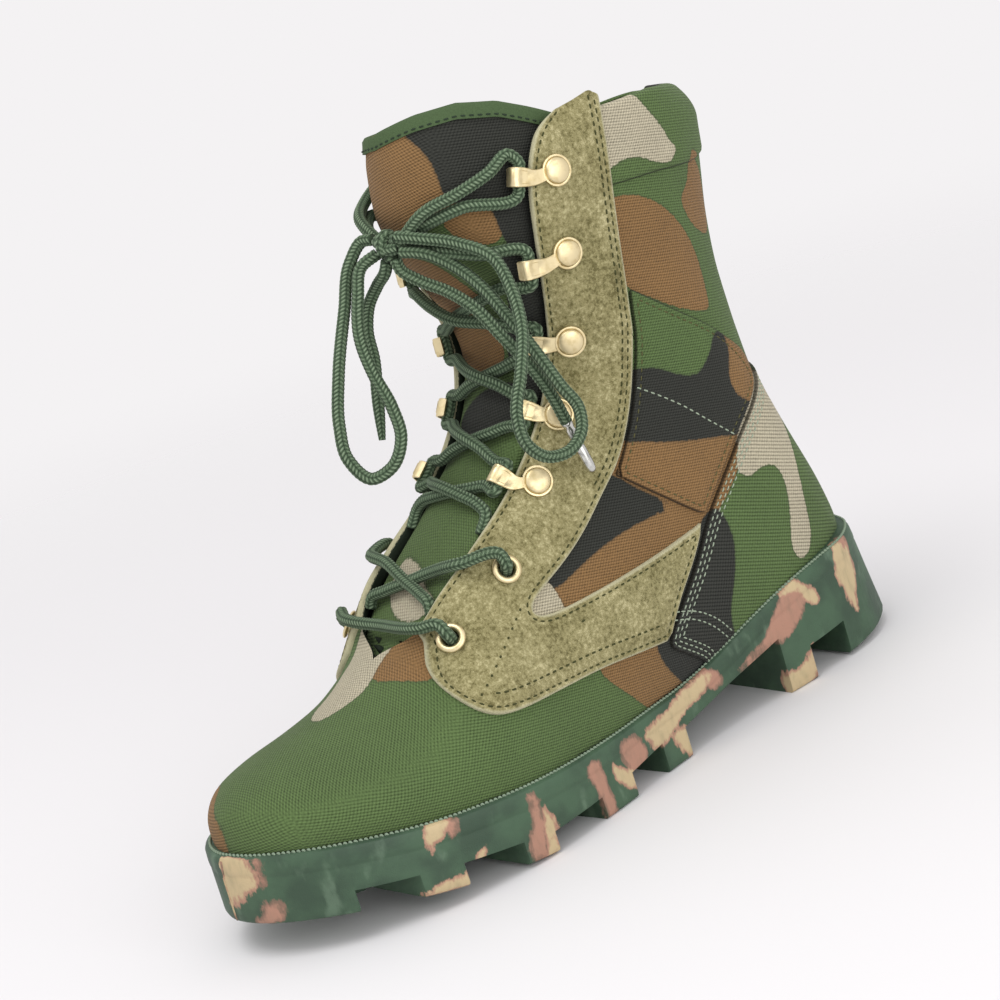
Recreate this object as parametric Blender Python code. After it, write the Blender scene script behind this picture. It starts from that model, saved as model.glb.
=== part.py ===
"""Left boot: camouflage canvas upper with suede facings on a moulded, lugged rubber sole.

Sizes are in millimetres: x from the back of the heel to the toe, y towards the outer side of the
foot, z up from the floor. The finished boot stands on z = 0 with the middle of its footprint at the origin.
"""

import math

import bmesh
import bpy
import numpy as np
from mathutils import Matrix, Vector

MM = 0.001
LENGTH = 302.0
GAP = 0.3
SEAT_DEPTH = 1.2

WALL = 2.4
FEATHER_INSET = 4.0
UPPER_COLUMNS = 9
OUTLINE_STEPS = 2

INSOLE_INSET = 8.6
INSOLE_LIFT = 0.5
INSOLE_THICKNESS = 3.4

TONGUE_THICKNESS = 3.0
TONGUE_CLEARANCE = 1.5
TONGUE_COLUMNS = 17

SUEDE_THICKNESS = 1.6
CANVAS_THICKNESS = 1.1
CUFF_THICKNESS = 2.2
OVERLAY_LIFT = 0.35

EYELET_RADIUS = 5.2
EYELET_BORE = 2.9
EYELET_BARREL = 3.7
EYELET_HOLE = 4.0
EYELET_HEIGHT = 1.3
EYELET_SEGMENTS = 10

RIVET_RADIUS = 5.2
RIVET_HEIGHT = 2.6
RIVET_SEGMENTS = 10
HOOK_THICKNESS = 0.9
HOOK_NECK = 4.8

LACE_RADIUS = 2.2
LACE_LIFT = 0.5
LACE_SIDES = 6
LACE_STEP = 8.0
LACE_SLACK = 0.3
KNOT_RADIUS = 4.2
AGLET_RADIUS = 1.9
AGLET_LENGTH = 20.0

# Plan of the sole: x, middle, half width
OUTLINE = (
    (0.0, 0.0, 0.0),
    (4.0, 0.0, 15.0),
    (12.0, 0.0, 24.5),
    (28.0, 0.0, 33.5),
    (50.0, 0.0, 37.5),
    (75.0, 0.5, 38.0),
    (105.0, 2.5, 36.0),
    (135.0, 4.0, 38.0),
    (165.0, 3.5, 44.5),
    (195.0, 2.0, 51.0),
    (215.0, 1.5, 52.5),
    (240.0, 1.0, 50.0),
    (261.0, 0.5, 44.5),
    (278.0, 0.0, 36.5),
    (290.5, -0.5, 25.5),
    (298.5, -0.5, 13.5),
    (302.0, -0.5, 0.0),
)
# Top edge of the sole, where the upper meets it: x, z
FEATHER = (
    (0.0, 37.5),
    (30.0, 37.3),
    (60.0, 36.0),
    (82.0, 33.0),
    (103.0, 28.0),
    (125.0, 24.8),
    (150.0, 24.2),
    (178.0, 24.6),
    (208.0, 26.6),
    (247.0, 30.4),
    (276.0, 34.8),
    (302.0, 38.2),
)
# Underside of the sole with its toe spring: x, z
UNDERSIDE = (
    (0.0, 0.0),
    (120.0, 0.0),
    (170.0, 0.0),
    (197.0, 0.0),
    (217.0, 1.6),
    (241.0, 5.0),
    (257.0, 7.6),
    (279.0, 11.0),
    (302.0, 13.4),
)
# Side of the sole from below upwards: measured from, z, inset
SIDE = (
    ("underside", 0.0, 1.3),
    ("underside", 1.6, 0.0),
    ("feather", -8.0, 0.2),
    ("feather", -7.2, 1.0),
    ("feather", -6.2, 0.0),
    ("feather", -1.0, 0.5),
    ("feather", 0.0, 1.5),
)
# Heel back draft: the top edge stands this far in front of the bottom edge
HEEL_DRAFT = 3.0
HEEL_DRAFT_END = 60.0

# Channels in from both edges of the tread: rear x, front x, inner end y, forward slant, rear roof z, front roof z
EDGE_CHANNELS = (
    (42.0, 62.0, 12.0, 2.0, 12.0, 12.0),
    (141.0, 160.0, 20.0, 6.0, 11.5, 9.5),
    (177.0, 202.0, 20.0, 7.0, 8.5, 8.0),
    (217.0, 241.0, 20.0, 7.0, 10.4, 14.0),
    (257.0, 279.0, 18.0, 6.0, 16.4, 20.0),
)
# Raised arch across the whole width: rear x, front x, rear roof z, front roof z
ARCH = (77.0, 131.0, 20.5, 11.5)
# Long grooves beside the middle lugs: x, inner y, outer y, roof z
LONG_GROOVE = (
    (122.0, 13.0, 20.0, 12.5),
    (160.0, 13.0, 21.0, 9.5),
    (190.0, 13.0, 21.0, 8.0),
    (217.0, 13.0, 21.0, 10.4),
    (241.0, 12.0, 20.0, 14.0),
    (272.0, 9.0, 17.0, 18.5),
)
# Cuts between the middle lugs: rear x, front x, roof z
MIDDLE_CUTS = (
    (148.0, 157.0, 9.8),
    (187.0, 196.0, 8.0),
    (226.0, 235.0, 12.4),
)

# Sections of the foot, toe to heel, each from the feather line to the ridge or throat edge:
# foot x, top x, top z, throat half gap, half width, widest share, fullness, top middle y
FOOT = (
    (298.0, 297.4, 45.5, 0.0, 0.0, 0.30, 2.00, -0.5),
    (296.4, 296.0, 48.8, 0.0, 8.5, 0.30, 2.00, -0.5),
    (291.2, 291.0, 53.0, 0.0, 19.6, 0.28, 2.00, -0.5),
    (282.0, 281.8, 57.0, 0.0, 30.4, 0.26, 1.95, -0.5),
    (267.5, 267.3, 59.8, 0.0, 39.2, 0.24, 1.85, -0.5),
    (250.5, 250.0, 62.2, 0.0, 44.8, 0.22, 1.80, -0.5),
    (235.0, 233.0, 66.8, 0.0, 47.6, 0.20, 1.75, -0.5),
    (222.0, 221.0, 74.6, 0.0, 48.8, 0.18, 1.70, -0.5),
    (209.0, 211.5, 81.5, 17.0, 49.4, 0.16, 1.80, -0.5),
    (194.0, 200.0, 91.5, 22.0, 48.0, 0.17, 1.75, -0.5),
    (174.0, 184.7, 101.4, 23.5, 43.8, 0.19, 1.70, 0.0),
    (148.0, 166.8, 112.4, 24.0, 40.6, 0.23, 1.75, 0.0),
    (118.0, 151.0, 125.4, 24.5, 39.4, 0.29, 1.80, 0.0),
    (88.0, 140.5, 138.0, 25.5, 39.6, 0.35, 1.90, 0.0),
    (60.0, 135.0, 149.0, 27.0, 40.0, 0.40, 1.95, 0.0),
    (36.0, 132.2, 158.5, 29.0, 40.2, 0.42, 2.00, 0.0),
    (19.0, 131.4, 167.8, 31.4, 40.4, 0.41, 2.00, 0.0),
    (9.0, 131.8, 175.8, 34.2, 40.8, 0.38, 2.00, 0.0),
    (4.2, 132.2, 183.5, 36.5, 41.2, 0.36, 2.00, 0.0),
)
# Sections of the shaft, heel to collar, each from the back seam to the throat edge:
# back x, back z, top x, top z, throat half gap, half width, widest share, fullness
SHAFT = (
    (7.0, 48.0, 131.5, 190.0, 37.0, 41.5, 0.35, 2.0),
    (12.0, 62.0, 130.8, 196.0, 37.5, 41.8, 0.35, 2.0),
    (18.8, 77.0, 130.2, 201.5, 38.0, 42.0, 0.34, 2.0),
    (26.0, 94.0, 129.2, 207.0, 38.0, 42.2, 0.34, 2.0),
    (31.5, 112.0, 128.0, 212.0, 38.0, 42.4, 0.34, 2.0),
    (35.5, 130.0, 126.4, 217.0, 38.0, 42.6, 0.35, 2.0),
    (37.8, 149.0, 124.2, 221.5, 38.0, 42.8, 0.35, 2.0),
    (36.6, 168.0, 121.4, 226.0, 38.0, 43.0, 0.36, 2.0),
    (33.2, 187.0, 118.0, 230.0, 38.0, 43.2, 0.37, 2.0),
    (29.8, 206.0, 113.8, 233.2, 38.0, 43.5, 0.37, 2.0),
    (27.0, 224.0, 109.0, 236.0, 38.0, 43.8, 0.39, 2.0),
)
THROAT_ROW = 7
HEEL_ROW = len(FOOT) - 1
TOP_ROW = len(FOOT) + len(SHAFT) - 1
ROWS = tuple(range(HEEL_ROW + 1)) + (20, 22, 24, 26, 28, TOP_ROW)

# Front line of the tongue: section number, x, z
TONGUE_NOSE = (
    (7.0, 220.0, 69.5),
    (8.0, 211.0, 78.5),
    (9.0, 199.5, 88.5),
    (10.0, 185.5, 100.0),
    (12.0, 154.5, 127.5),
    (14.0, 139.0, 149.5),
    (16.0, 138.0, 169.0),
    (18.0, 147.0, 187.0),
    (20.0, 155.0, 201.5),
    (22.0, 158.5, 212.5),
    (26.0, 158.5, 231.0),
    (29.0, 156.5, 240.5),
)
TONGUE_FOOT_ROW = 6.2
TONGUE_TUCK = 0.17

# Suede facing seen from the side, with its saddle branch: x, z. It runs past the throat edge in front.
EYESTAY = (
    (89.6, 246.0),
    (94.4, 215.5),
    (97.8, 198.0),
    (100.0, 184.0),
    (102.0, 167.0),
    (104.6, 148.5),
    (108.2, 135.4),
    (114.2, 122.8),
    (122.4, 111.2),
    (132.6, 103.0),
    (144.3, 93.8),
    (156.3, 87.0),
    (167.0, 82.6),
    (174.5, 79.6),
    (177.6, 76.6),
    (175.8, 73.8),
    (168.4, 72.5),
    (149.8, 72.7),
    (124.5, 74.0),
    (103.2, 76.5),
    (97.6, 77.6),
    (106.2, 66.4),
    (118.0, 55.6),
    (127.6, 44.2),
    (142.4, 45.9),
    (160.8, 48.2),
    (180.3, 49.0),
    (199.8, 50.4),
    (208.0, 52.0),
    (213.2, 55.5),
    (216.4, 61.0),
    (217.4, 66.0),
    (216.0, 71.0),
    (213.2, 76.0),
    (210.8, 80.5),
    (211.0, 96.0),
    (180.0, 125.0),
    (160.0, 150.0),
    (150.0, 200.0),
    (130.0, 250.0),
)
# Diagonal ankle band seen from the side: x, z
ANKLE_BAND = (
    (101.0, 167.4),
    (87.0, 155.5),
    (68.0, 140.5),
    (57.0, 126.0),
    (54.0, 118.0),
    (56.6, 114.2),
    (63.8, 108.6),
    (72.8, 100.6),
    (84.6, 89.8),
    (94.6, 80.6),
    (96.6, 79.6),
    (115.0, 96.0),
    (126.0, 106.6),
    (121.6, 110.6),
    (113.2, 122.2),
    (107.2, 134.9),
    (103.6, 148.0),
)
# Heel counter seen from the side, running past the back and the sole: x, z
HEEL_COUNTER = (
    (-20.0, 121.0),
    (40.0, 120.0),
    (54.0, 114.0),
    (63.2, 106.8),
    (72.0, 99.0),
    (83.8, 88.2),
    (94.2, 78.6),
    (104.6, 65.4),
    (116.4, 54.4),
    (126.4, 42.0),
    (130.0, 10.0),
    (-20.0, 10.0),
)
# Padded collar cuff seen from the side, running past the back and the top: x, z
COLLAR_CUFF = (
    (-20.0, 199.0),
    (55.0, 199.2),
    (79.0, 202.0),
    (96.0, 203.4),
    (93.6, 215.3),
    (88.7, 246.0),
    (-20.0, 250.0),
)
# Two eyelets of each side, from below: section number, share of the way up
EYELETS = ((8.45, 0.82), (10.25, 0.832))
# Five hooks of each side, from below: section number and share of the rivet, section number at the throat edge
HOOKS = (
    (11.7, 0.926, 11.35),
    (13.1, 0.933, 12.8),
    (15.6, 0.938, 15.0),
    (20.3, 0.96, 18.4),
    (25.0, 0.955, 23.8),
)
# Hook strip in front of the throat edge: forward of the edge, above the facing, width
HOOK_STRIP = ((-1.0, 0.3, 5.4), (3.4, 0.8, 6.6), (6.8, 0.7, 6.8), (7.4, -2.2, 6.6))
HOOK_LACE = 3.9
HOOK_STRAIGHT = 5.2

# Knot, loops and ends of the lace: x, y, z
KNOT = ((166.9, -1.5, 207.0), (167.5, 3.5, 207.6), (166.9, 8.5, 207.0))
LOOP_MEDIAL = (
    (167.5, -3.7, 209.8),
    (169.0, -8.5, 209.8),
    (174.0, -12.0, 204.0),
    (183.0, -10.5, 189.5),
    (195.5, -7.0, 169.5),
    (203.0, -4.0, 154.0),
    (205.5, -1.0, 143.0),
    (201.0, 3.0, 134.0),
    (194.0, 7.0, 136.0),
    (188.0, 8.0, 144.0),
    (186.5, 6.0, 155.0),
    (187.0, 1.5, 168.0),
    (185.0, -3.0, 180.0),
    (179.5, -5.0, 193.0),
    (173.0, -7.0, 202.0),
    (167.5, -3.6, 204.6),
)
LOOP_LATERAL = (
    (167.0, 10.1, 210.0),
    (163.5, 16.5, 208.0),
    (154.5, 27.0, 202.5),
    (149.0, 36.0, 195.5),
    (148.9, 41.5, 183.0),
    (151.7, 45.0, 171.5),
    (159.0, 47.0, 157.0),
    (165.5, 47.0, 144.0),
    (165.0, 47.0, 133.5),
    (159.5, 48.0, 127.0),
    (150.5, 50.0, 126.0),
    (143.5, 50.0, 131.0),
    (141.2, 48.5, 138.0),
    (144.5, 47.0, 147.0),
    (147.0, 44.0, 157.5),
    (148.0, 39.5, 166.0),
    (149.5, 34.0, 176.0),
    (151.0, 28.0, 185.5),
    (154.5, 21.0, 194.5),
    (162.0, 15.8, 202.2),
    (167.2, 9.9, 204.6),
)
END_MEDIAL = (
    (167.6, 1.0, 201.7),
    (168.0, -1.0, 198.5),
    (168.6, -8.0, 193.5),
    (171.0, -14.0, 186.5),
    (174.0, -14.5, 179.0),
    (176.0, -13.0, 168.5),
    (179.5, -12.0, 157.5),
    (184.0, -11.0, 141.5),
)
END_LATERAL = (
    (167.4, 6.2, 202.3),
    (167.0, 6.6, 198.5),
    (163.5, 10.5, 193.0),
    (158.5, 18.0, 187.0),
    (155.5, 27.5, 179.0),
    (153.4, 34.0, 169.0),
    (148.5, 38.5, 155.8),
    (144.6, 40.5, 143.0),
    (142.8, 41.5, 133.0),
)

# Finish: red, green, blue, roughness, metallic
RUBBER = (0.075, 0.135, 0.090, 0.60, 0.0)
CANVAS = (0.085, 0.150, 0.055, 0.85, 0.0)
SUEDE = (0.250, 0.220, 0.100, 0.90, 0.0)
BRASS = (0.700, 0.600, 0.350, 0.35, 1.0)
CORD = (0.070, 0.115, 0.075, 0.85, 0.0)
STEEL = (0.650, 0.650, 0.620, 0.35, 1.0)
FOAM = (0.055, 0.060, 0.055, 0.90, 0.0)


def blend(rows, slopes, index, t):
    """Point at share t of the stretch after a row of a smooth table."""
    start = (1 + 2 * t) * (1 - t) ** 2 * rows[index] + t * (1 - t) ** 2 * slopes[index]
    end = t * t * (3 - 2 * t) * rows[index + 1] + t * t * (t - 1) * slopes[index + 1]
    return start + end


def smooth(rows, steps):
    """Rows of a table with steps points in each stretch between them, round at both ends."""
    rows = np.asarray(rows, float)
    slopes = np.gradient(rows, axis=0)
    slopes[0, :-1] = 0.0
    slopes[-1, :-1] = 0.0
    points = [blend(rows, slopes, i, k / steps) for i in range(len(rows) - 1) for k in range(steps)]
    return np.array(points + [rows[-1]])


def line(table):
    """Smooth functions of a table's first column, one for each other column."""
    rows = np.asarray(table, float)
    slopes = np.gradient(rows[:, 1:], rows[:, 0], axis=0)

    def value(at):
        index = int(np.clip(np.searchsorted(rows[:, 0], at) - 1, 0, len(rows) - 2))
        width = rows[index + 1, 0] - rows[index, 0]
        t = min(max((at - rows[index, 0]) / width, 0.0), 1.0)
        return blend(rows[:, 1:], slopes * width, index, t)

    return value


feather_line = line(FEATHER)
underside_line = line(UNDERSIDE)
nose_line = line(TONGUE_NOSE)


def feather(x):
    return float(feather_line(x)[0])


def underside(x):
    return max(0.0, float(underside_line(x)[0]))


def plan_ring(inset, steps=OUTLINE_STEPS):
    """Outer and inner edge of the sole's plan, heel to toe, moved inwards by inset."""
    rows = smooth(OUTLINE, steps)
    outer = np.column_stack((rows[:, 0], rows[:, 1] + rows[:, 2]))
    inner = np.column_stack((rows[:, 0], rows[:, 1] - rows[:, 2]))
    loop = np.vstack((outer, inner[-2:0:-1]))
    ahead = np.roll(loop, -1, 0) - np.roll(loop, 1, 0)
    inward = np.column_stack((ahead[:, 1], -ahead[:, 0]))
    inward /= np.linalg.norm(inward, axis=1)[:, None]
    moved = loop + inward * inset
    count = len(outer)
    return moved[:count], np.vstack((moved[:1], moved[-1 : count - 1 : -1], moved[count - 1 : count]))


FINE_OUTER, FINE_INNER = plan_ring(0.0, 12)
Y_MIDDLE = 0.5 * (FINE_OUTER[:, 1].max() + FINE_INNER[:, 1].min())
SEAT_OUTER, SEAT_INNER = plan_ring(FEATHER_INSET, 12)
SEAT_X = 0.5 * (SEAT_OUTER[:, 0] + SEAT_INNER[:, 0])
SEAT_HALF = 0.5 * (SEAT_OUTER[:, 1] - SEAT_INNER[:, 1])
SEAT_MIDDLE = 0.5 * (SEAT_OUTER[:, 1] + SEAT_INNER[:, 1])


def section_table():
    """Rows of back x, back z, top x, top z, gap, half width, widest share, fullness, top middle y."""
    rows = [(x, feather(x) - SEAT_DEPTH, tx, tz, gap, half, widest, full, mid)
            for x, tx, tz, gap, half, widest, full, mid in FOOT]
    rows += [row + (0.0,) for row in SHAFT]
    return np.array(rows)


SECTIONS = section_table()
SECTION_SLOPES = np.gradient(SECTIONS, axis=0)


def section(u):
    """Sizes of the section numbered u, with the sole's half width and middle at its foot."""
    index = min(int(u), TOP_ROW - 1)
    bx, bz, tx, tz, gap, half, widest, full, mid = blend(SECTIONS, SECTION_SLOPES, index, u - index)
    gap = max(gap, 0.0) if u > THROAT_ROW else 0.0
    seat = 0.0
    middle = 0.0
    if u < HEEL_ROW:
        bz = feather(bx) - SEAT_DEPTH
        seat = float(np.interp(bx, SEAT_X, SEAT_HALF, left=0.0, right=0.0))
        middle = float(np.interp(bx, SEAT_X, SEAT_MIDDLE))
    return bx, bz, tx, tz, gap, max(half, seat + 0.02), widest, full, mid, seat, middle


def surface(u, s, side):
    """Point of the upper's outside: section u, share s from foot or back seam to the top, side 1 or -1."""
    bx, bz, tx, tz, gap, half, widest, full, mid, seat, middle = section(u)
    if half < 0.05:
        half, start, end = 0.0, 0.0, math.pi
    else:
        start = math.asin(min(1.0, seat / half))
        end = math.pi - math.asin(min(1.0, gap / half) ** (full / 2))
    reach = math.hypot(tx - bx, tz - bz)
    whole = reach / (widest + (1 - widest) * (-math.cos(end)) ** (2 / full))
    low = widest * whole
    turn = start + s * (end - start)
    if turn <= math.pi / 2:
        along = low - low / max(math.cos(start), 1e-6) * math.cos(turn)
        wide = half * math.sin(turn)
    else:
        along = low + (whole - low) * (-math.cos(turn)) ** (2 / full)
        wide = half * max(math.sin(turn), 0.0) ** (2 / full)
    if s >= 1.0:
        wide = gap
    if s <= 0.0:
        wide = seat
    share = along / reach
    centre = middle + (mid - middle) * min(max(share, 0.0), 1.0)
    return np.array((bx + share * (tx - bx), centre + side * wide, bz + share * (tz - bz)))


def outward(u, s, side):
    """Unit normal of the upper's outside."""
    step = 1e-3
    along = surface(min(u + step, TOP_ROW), s, side) - surface(max(u - step, 0.0), s, side)
    across = surface(u, min(s + step, 1.0), side) - surface(u, max(s - step, 0.0), side)
    normal = np.cross(along, across) * side
    return normal / max(np.linalg.norm(normal), 1e-12)


def place(point):
    """Point in the boot's frame, in metres."""
    return ((point[0] - LENGTH / 2) * MM, (point[1] - Y_MIDDLE) * MM, point[2] * MM)


def material(name, finish):
    found = bpy.data.materials.get(name)
    if found:
        return found
    made = bpy.data.materials.new(name)
    made.use_nodes = True
    shader = made.node_tree.nodes["Principled BSDF"]
    shader.inputs["Base Color"].default_value = (*finish[:3], 1.0)
    shader.inputs["Roughness"].default_value = finish[3]
    shader.inputs["Metallic"].default_value = finish[4]
    return made


def new_object(name, points, faces, finish, merge=False, closed=True):
    """Mesh object of points in millimetres. A closed one gets its normals turned outwards."""
    mesh = bpy.data.meshes.new(name)
    mesh.from_pydata([place(p) for p in points], [], faces)
    shell = bmesh.new()
    shell.from_mesh(mesh)
    if merge:
        bmesh.ops.remove_doubles(shell, verts=shell.verts, dist=1e-6)
    if closed:
        bmesh.ops.recalc_face_normals(shell, faces=shell.faces)
    shell.to_mesh(mesh)
    shell.free()
    made = bpy.data.objects.new(name, mesh)
    bpy.context.scene.collection.objects.link(made)
    if finish:
        mesh.materials.append(material(name, finish))
    return made


def cutter(name, points, faces):
    made = new_object(name, points, faces, None)
    made.hide_render = True
    made.display_type = "WIRE"
    return made


def boolean(target, other, operation):
    step = target.modifiers.new(other.name, "BOOLEAN")
    step.object = other
    step.operation = operation
    step.solver = "EXACT"


def thicken(target, thickness, offset):
    step = target.modifiers.new("wall", "SOLIDIFY")
    step.thickness = thickness * MM
    step.offset = offset
    step.use_even_offset = True


def block(points, faces, corners, low, roofs):
    """Adds a four-cornered block to points and faces, from z low up to a roof height at each corner."""
    first = len(points)
    points += [(x, y, low) for x, y in corners]
    points += [(x, y, z) for (x, y), z in zip(corners, roofs)]
    faces += [tuple(first + k for k in ring) for ring in ((3, 2, 1, 0), (4, 5, 6, 7))]
    faces += [tuple(first + k for k in (i, (i + 1) % 4, (i + 1) % 4 + 4, i + 4)) for i in range(4)]


def lofted(rings):
    """Points and faces of a closed solid through plan rings of outer and inner edge points, lowest first."""
    points = []
    faces = []
    loops = []
    for outer, inner in rings:
        first = len(points)
        points += list(outer) + list(inner[1:-1])
        count = len(outer)
        inside = [first + count + k for k in range(count - 2)]
        loops.append(([first + k for k in range(count)], [first] + inside + [first + count - 1]))
    for (low_out, low_in), (high_out, high_in) in zip(loops, loops[1:]):
        for low, high in ((low_out, high_out), (high_in, low_in)):
            for k in range(len(low) - 1):
                faces.append((low[k], low[k + 1], high[k + 1]))
                faces.append((low[k], high[k + 1], high[k]))
    for (outer, inner), turned in ((loops[0], False), (loops[-1], True)):
        for k in range(len(outer) - 1):
            corners = [outer[k], outer[k + 1], inner[k + 1], inner[k]]
            corners = list(dict.fromkeys(corners))
            faces.append(tuple(reversed(corners)) if turned else tuple(corners))
    return points, faces


def drafted(edge, height):
    """Plan points of the sole's edge, moved forward at the heel by the draft at this height."""
    moved = []
    for x, y in edge:
        rise = height(x) / feather(x)
        lean = HEEL_DRAFT * rise * max(0.0, 1.0 - x / HEEL_DRAFT_END) ** 2
        moved.append((x + lean, y, height(x)))
    return moved


def outsole():
    rings = []
    for base, rise, inset in SIDE:
        ground = underside if base == "underside" else feather
        outer, inner = plan_ring(inset)
        rings.append([drafted(edge, lambda x, g=ground, r=rise: g(x) + r) for edge in (outer, inner)])
    sole = new_object("outsole", *lofted(rings), RUBBER)

    points, faces = [], []
    for rear, front, reach, slant, rear_roof, front_roof in EDGE_CHANNELS:
        for side in (1, -1):
            corners = [(rear, side * 75), (front, side * 75), (front + slant, side * reach), (rear + slant, side * reach)]
            block(points, faces, corners, -5.0, (rear_roof, front_roof, front_roof, rear_roof))
    rear, front, rear_roof, front_roof = ARCH
    corners = [(rear, -75), (front, -75), (front, 75), (rear, 75)]
    block(points, faces, corners, -5.0, (rear_roof, front_roof, front_roof, rear_roof))
    boolean(sole, cutter("cut_edge_channels", points, faces), "DIFFERENCE")

    points, faces = [], []
    for side in (1, -1):
        first = len(points)
        for x, near, far, roof in LONG_GROOVE:
            points += [(x, side * near, -5), (x, side * far, -5), (x, side * far, roof), (x, side * near, roof)]
        for k in range(len(LONG_GROOVE) - 1):
            a = first + 4 * k
            faces += [(a + i, a + (i + 1) % 4, a + (i + 1) % 4 + 4, a + i + 4) for i in range(4)]
        last = first + 4 * (len(LONG_GROOVE) - 1)
        faces += [tuple(first + i for i in range(4)), tuple(last + i for i in range(4))]
    boolean(sole, cutter("cut_long_grooves", points, faces), "DIFFERENCE")

    points, faces = [], []
    for rear, front, roof in MIDDLE_CUTS:
        corners = [(rear, -16), (front, -16), (front, 16), (rear, 16)]
        block(points, faces, corners, -5.0, (roof,) * 4)
    boolean(sole, cutter("cut_middle", points, faces), "DIFFERENCE")
    return sole


def insole():
    rings = []
    outer, inner = plan_ring(INSOLE_INSET)
    for rise in (INSOLE_LIFT, INSOLE_LIFT + INSOLE_THICKNESS):
        rings.append([[(x, y, feather(x) + rise) for x, y in edge] for edge in (outer, inner)])
    return new_object("insole", *lofted(rings), FOAM)


def shell_patch(rows, columns, sides, lift):
    """Points and triangles of the upper's outside, lifted along its normals, over the given rows and columns."""
    points = []
    faces = []
    for side in sides:
        first = len(points)
        for u in rows:
            points += [surface(u, s, side) + outward(u, s, side) * lift for s in columns]
        across = len(columns)
        for i in range(len(rows) - 1):
            for j in range(across - 1):
                a = first + i * across + j
                b, c, d = a + 1, a + across + 1, a + across
                split = ((a, b, d), (b, c, d)) if rows[i] == 0.0 else ((a, b, c), (a, c, d))
                faces += [corners[::-1] if side > 0 else corners for corners in split]
    return points, faces


def seat_cutter():
    """Block under the upper, with the shape of the sole's top face."""
    outer, inner = plan_ring(-4.0)
    rings = [[[(x, y, 5.0) for x, y in edge] for edge in (outer, inner)]]
    rings.append([[(x, y, feather(x) + GAP) for x, y in edge] for edge in (outer, inner)])
    return cutter("cut_seat", *lofted(rings))


def upper():
    rows = [float(k) for k in ROWS]
    columns = [k / (UPPER_COLUMNS - 1) for k in range(UPPER_COLUMNS)]
    points, faces = shell_patch(rows, columns, (1, -1), 0.0)
    shell = new_object("upper", points, faces, CANVAS, merge=True, closed=False)
    thicken(shell, WALL, -1.0)
    boolean(shell, seat_cutter(), "DIFFERENCE")
    return shell


def tongue_row(u):
    """Outside of the tongue across the throat at section u, from its outer tuck to its inner tuck."""
    depth = WALL + TONGUE_CLEARANCE
    tucks = [1.0 - TONGUE_TUCK * (1 - k / 5) for k in range(6)]
    flaps = [[surface(u, s, side) - outward(u, min(s, 0.985), side) * depth for s in tucks] for side in (1, -1)]
    path = flaps[0]
    if u > THROAT_ROW + 0.2:
        start, end = flaps[0][-1], flaps[1][-1]
        centre = 0.5 * (start + end)
        nose_x, nose_z = nose_line(u)
        push = np.array((nose_x, centre[1], nose_z)) - centre
        for k in range(1, 16):
            turn = math.pi * k / 16
            path.append(centre + 0.5 * (start - end) * math.cos(turn) + push * math.sin(turn))
    path = np.array(path + flaps[1][::-1])
    steps = np.linalg.norm(np.diff(path, axis=0), axis=1)
    run = np.concatenate(([0.0], np.cumsum(steps)))
    at = np.linspace(0.0, run[-1], TONGUE_COLUMNS)
    return [np.array([np.interp(a, run, path[:, k]) for k in range(3)]) for a in at]


def tongue():
    rows = [TONGUE_FOOT_ROW, 6.6, 7.0, 7.5] + [float(k) for k in ROWS if k > THROAT_ROW]
    points = [p for u in rows for p in tongue_row(u)]
    faces = []
    for i in range(len(rows) - 1):
        for j in range(TONGUE_COLUMNS - 1):
            a = i * TONGUE_COLUMNS + j
            b, c, d = a + 1, a + TONGUE_COLUMNS + 1, a + TONGUE_COLUMNS
            faces += [(a, c, b), (a, d, c)]
    sheet = new_object("tongue", points, faces, CANVAS, closed=False)
    thicken(sheet, TONGUE_THICKNESS, -1.0)
    return sheet


def prism(name, outline, near, far):
    """Cutter with an outline seen from the side, between two distances from the middle."""
    count = len(outline)
    points = [(x, y, z) for y in (near, far) for x, z in outline]
    faces = [tuple(range(count)), tuple(range(2 * count - 1, count - 1, -1))]
    faces += [(k, (k + 1) % count, (k + 1) % count + count, k + count) for k in range(count)]
    return cutter(name, points, faces)


def grid_columns(low, high):
    """Columns of the upper's own grid between two shares, so that facets of two layers stay parallel."""
    columns = [k / (UPPER_COLUMNS - 1) for k in range(UPPER_COLUMNS)]
    return [s for s in columns if low <= s <= high]


def overlay(name, rows, columns, sides, outline, thickness, finish):
    """Layer over the upper, cut to an outline."""
    points, faces = shell_patch([float(u) for u in ROWS if rows[0] <= u <= rows[1]], columns, sides, OVERLAY_LIFT)
    layer = new_object(name, points, faces, finish, merge=True, closed=False)
    thicken(layer, thickness, 1.0)
    near = 3.0 * sides[0] if len(sides) == 1 else -80.0
    far = 80.0 * sides[0]
    boolean(layer, prism("cut_" + name, outline, min(near, far), max(near, far)), "INTERSECT")
    return layer


def turned(name, centre, axes, profile, segments, finish, hidden=False):
    """Ring or disc turned about axes[2] at centre from radius and height pairs."""
    points = []
    for k in range(segments):
        turn = 2 * math.pi * k / segments
        ray = axes[0] * math.cos(turn) + axes[1] * math.sin(turn)
        points += [centre + ray * radius + axes[2] * height for radius, height in profile]
    count = len(profile)
    faces = []
    for k in range(segments):
        a, b = k * count, (k + 1) % segments * count
        faces += [(a + i, a + (i + 1) % count, b + (i + 1) % count, b + i) for i in range(count)]
    if hidden:
        return cutter(name, points, faces)
    return new_object(name, points, faces, finish)


def fixing_axes(u, s, side):
    """Forward to the throat, along the throat and outward at a place on the upper."""
    out = outward(u, s, side)
    forward = surface(u, min(s + 0.03, 1.0), side) - surface(u, s - 0.03, side)
    forward -= out * forward.dot(out)
    forward /= np.linalg.norm(forward)
    return forward, np.cross(out, forward), out


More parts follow.
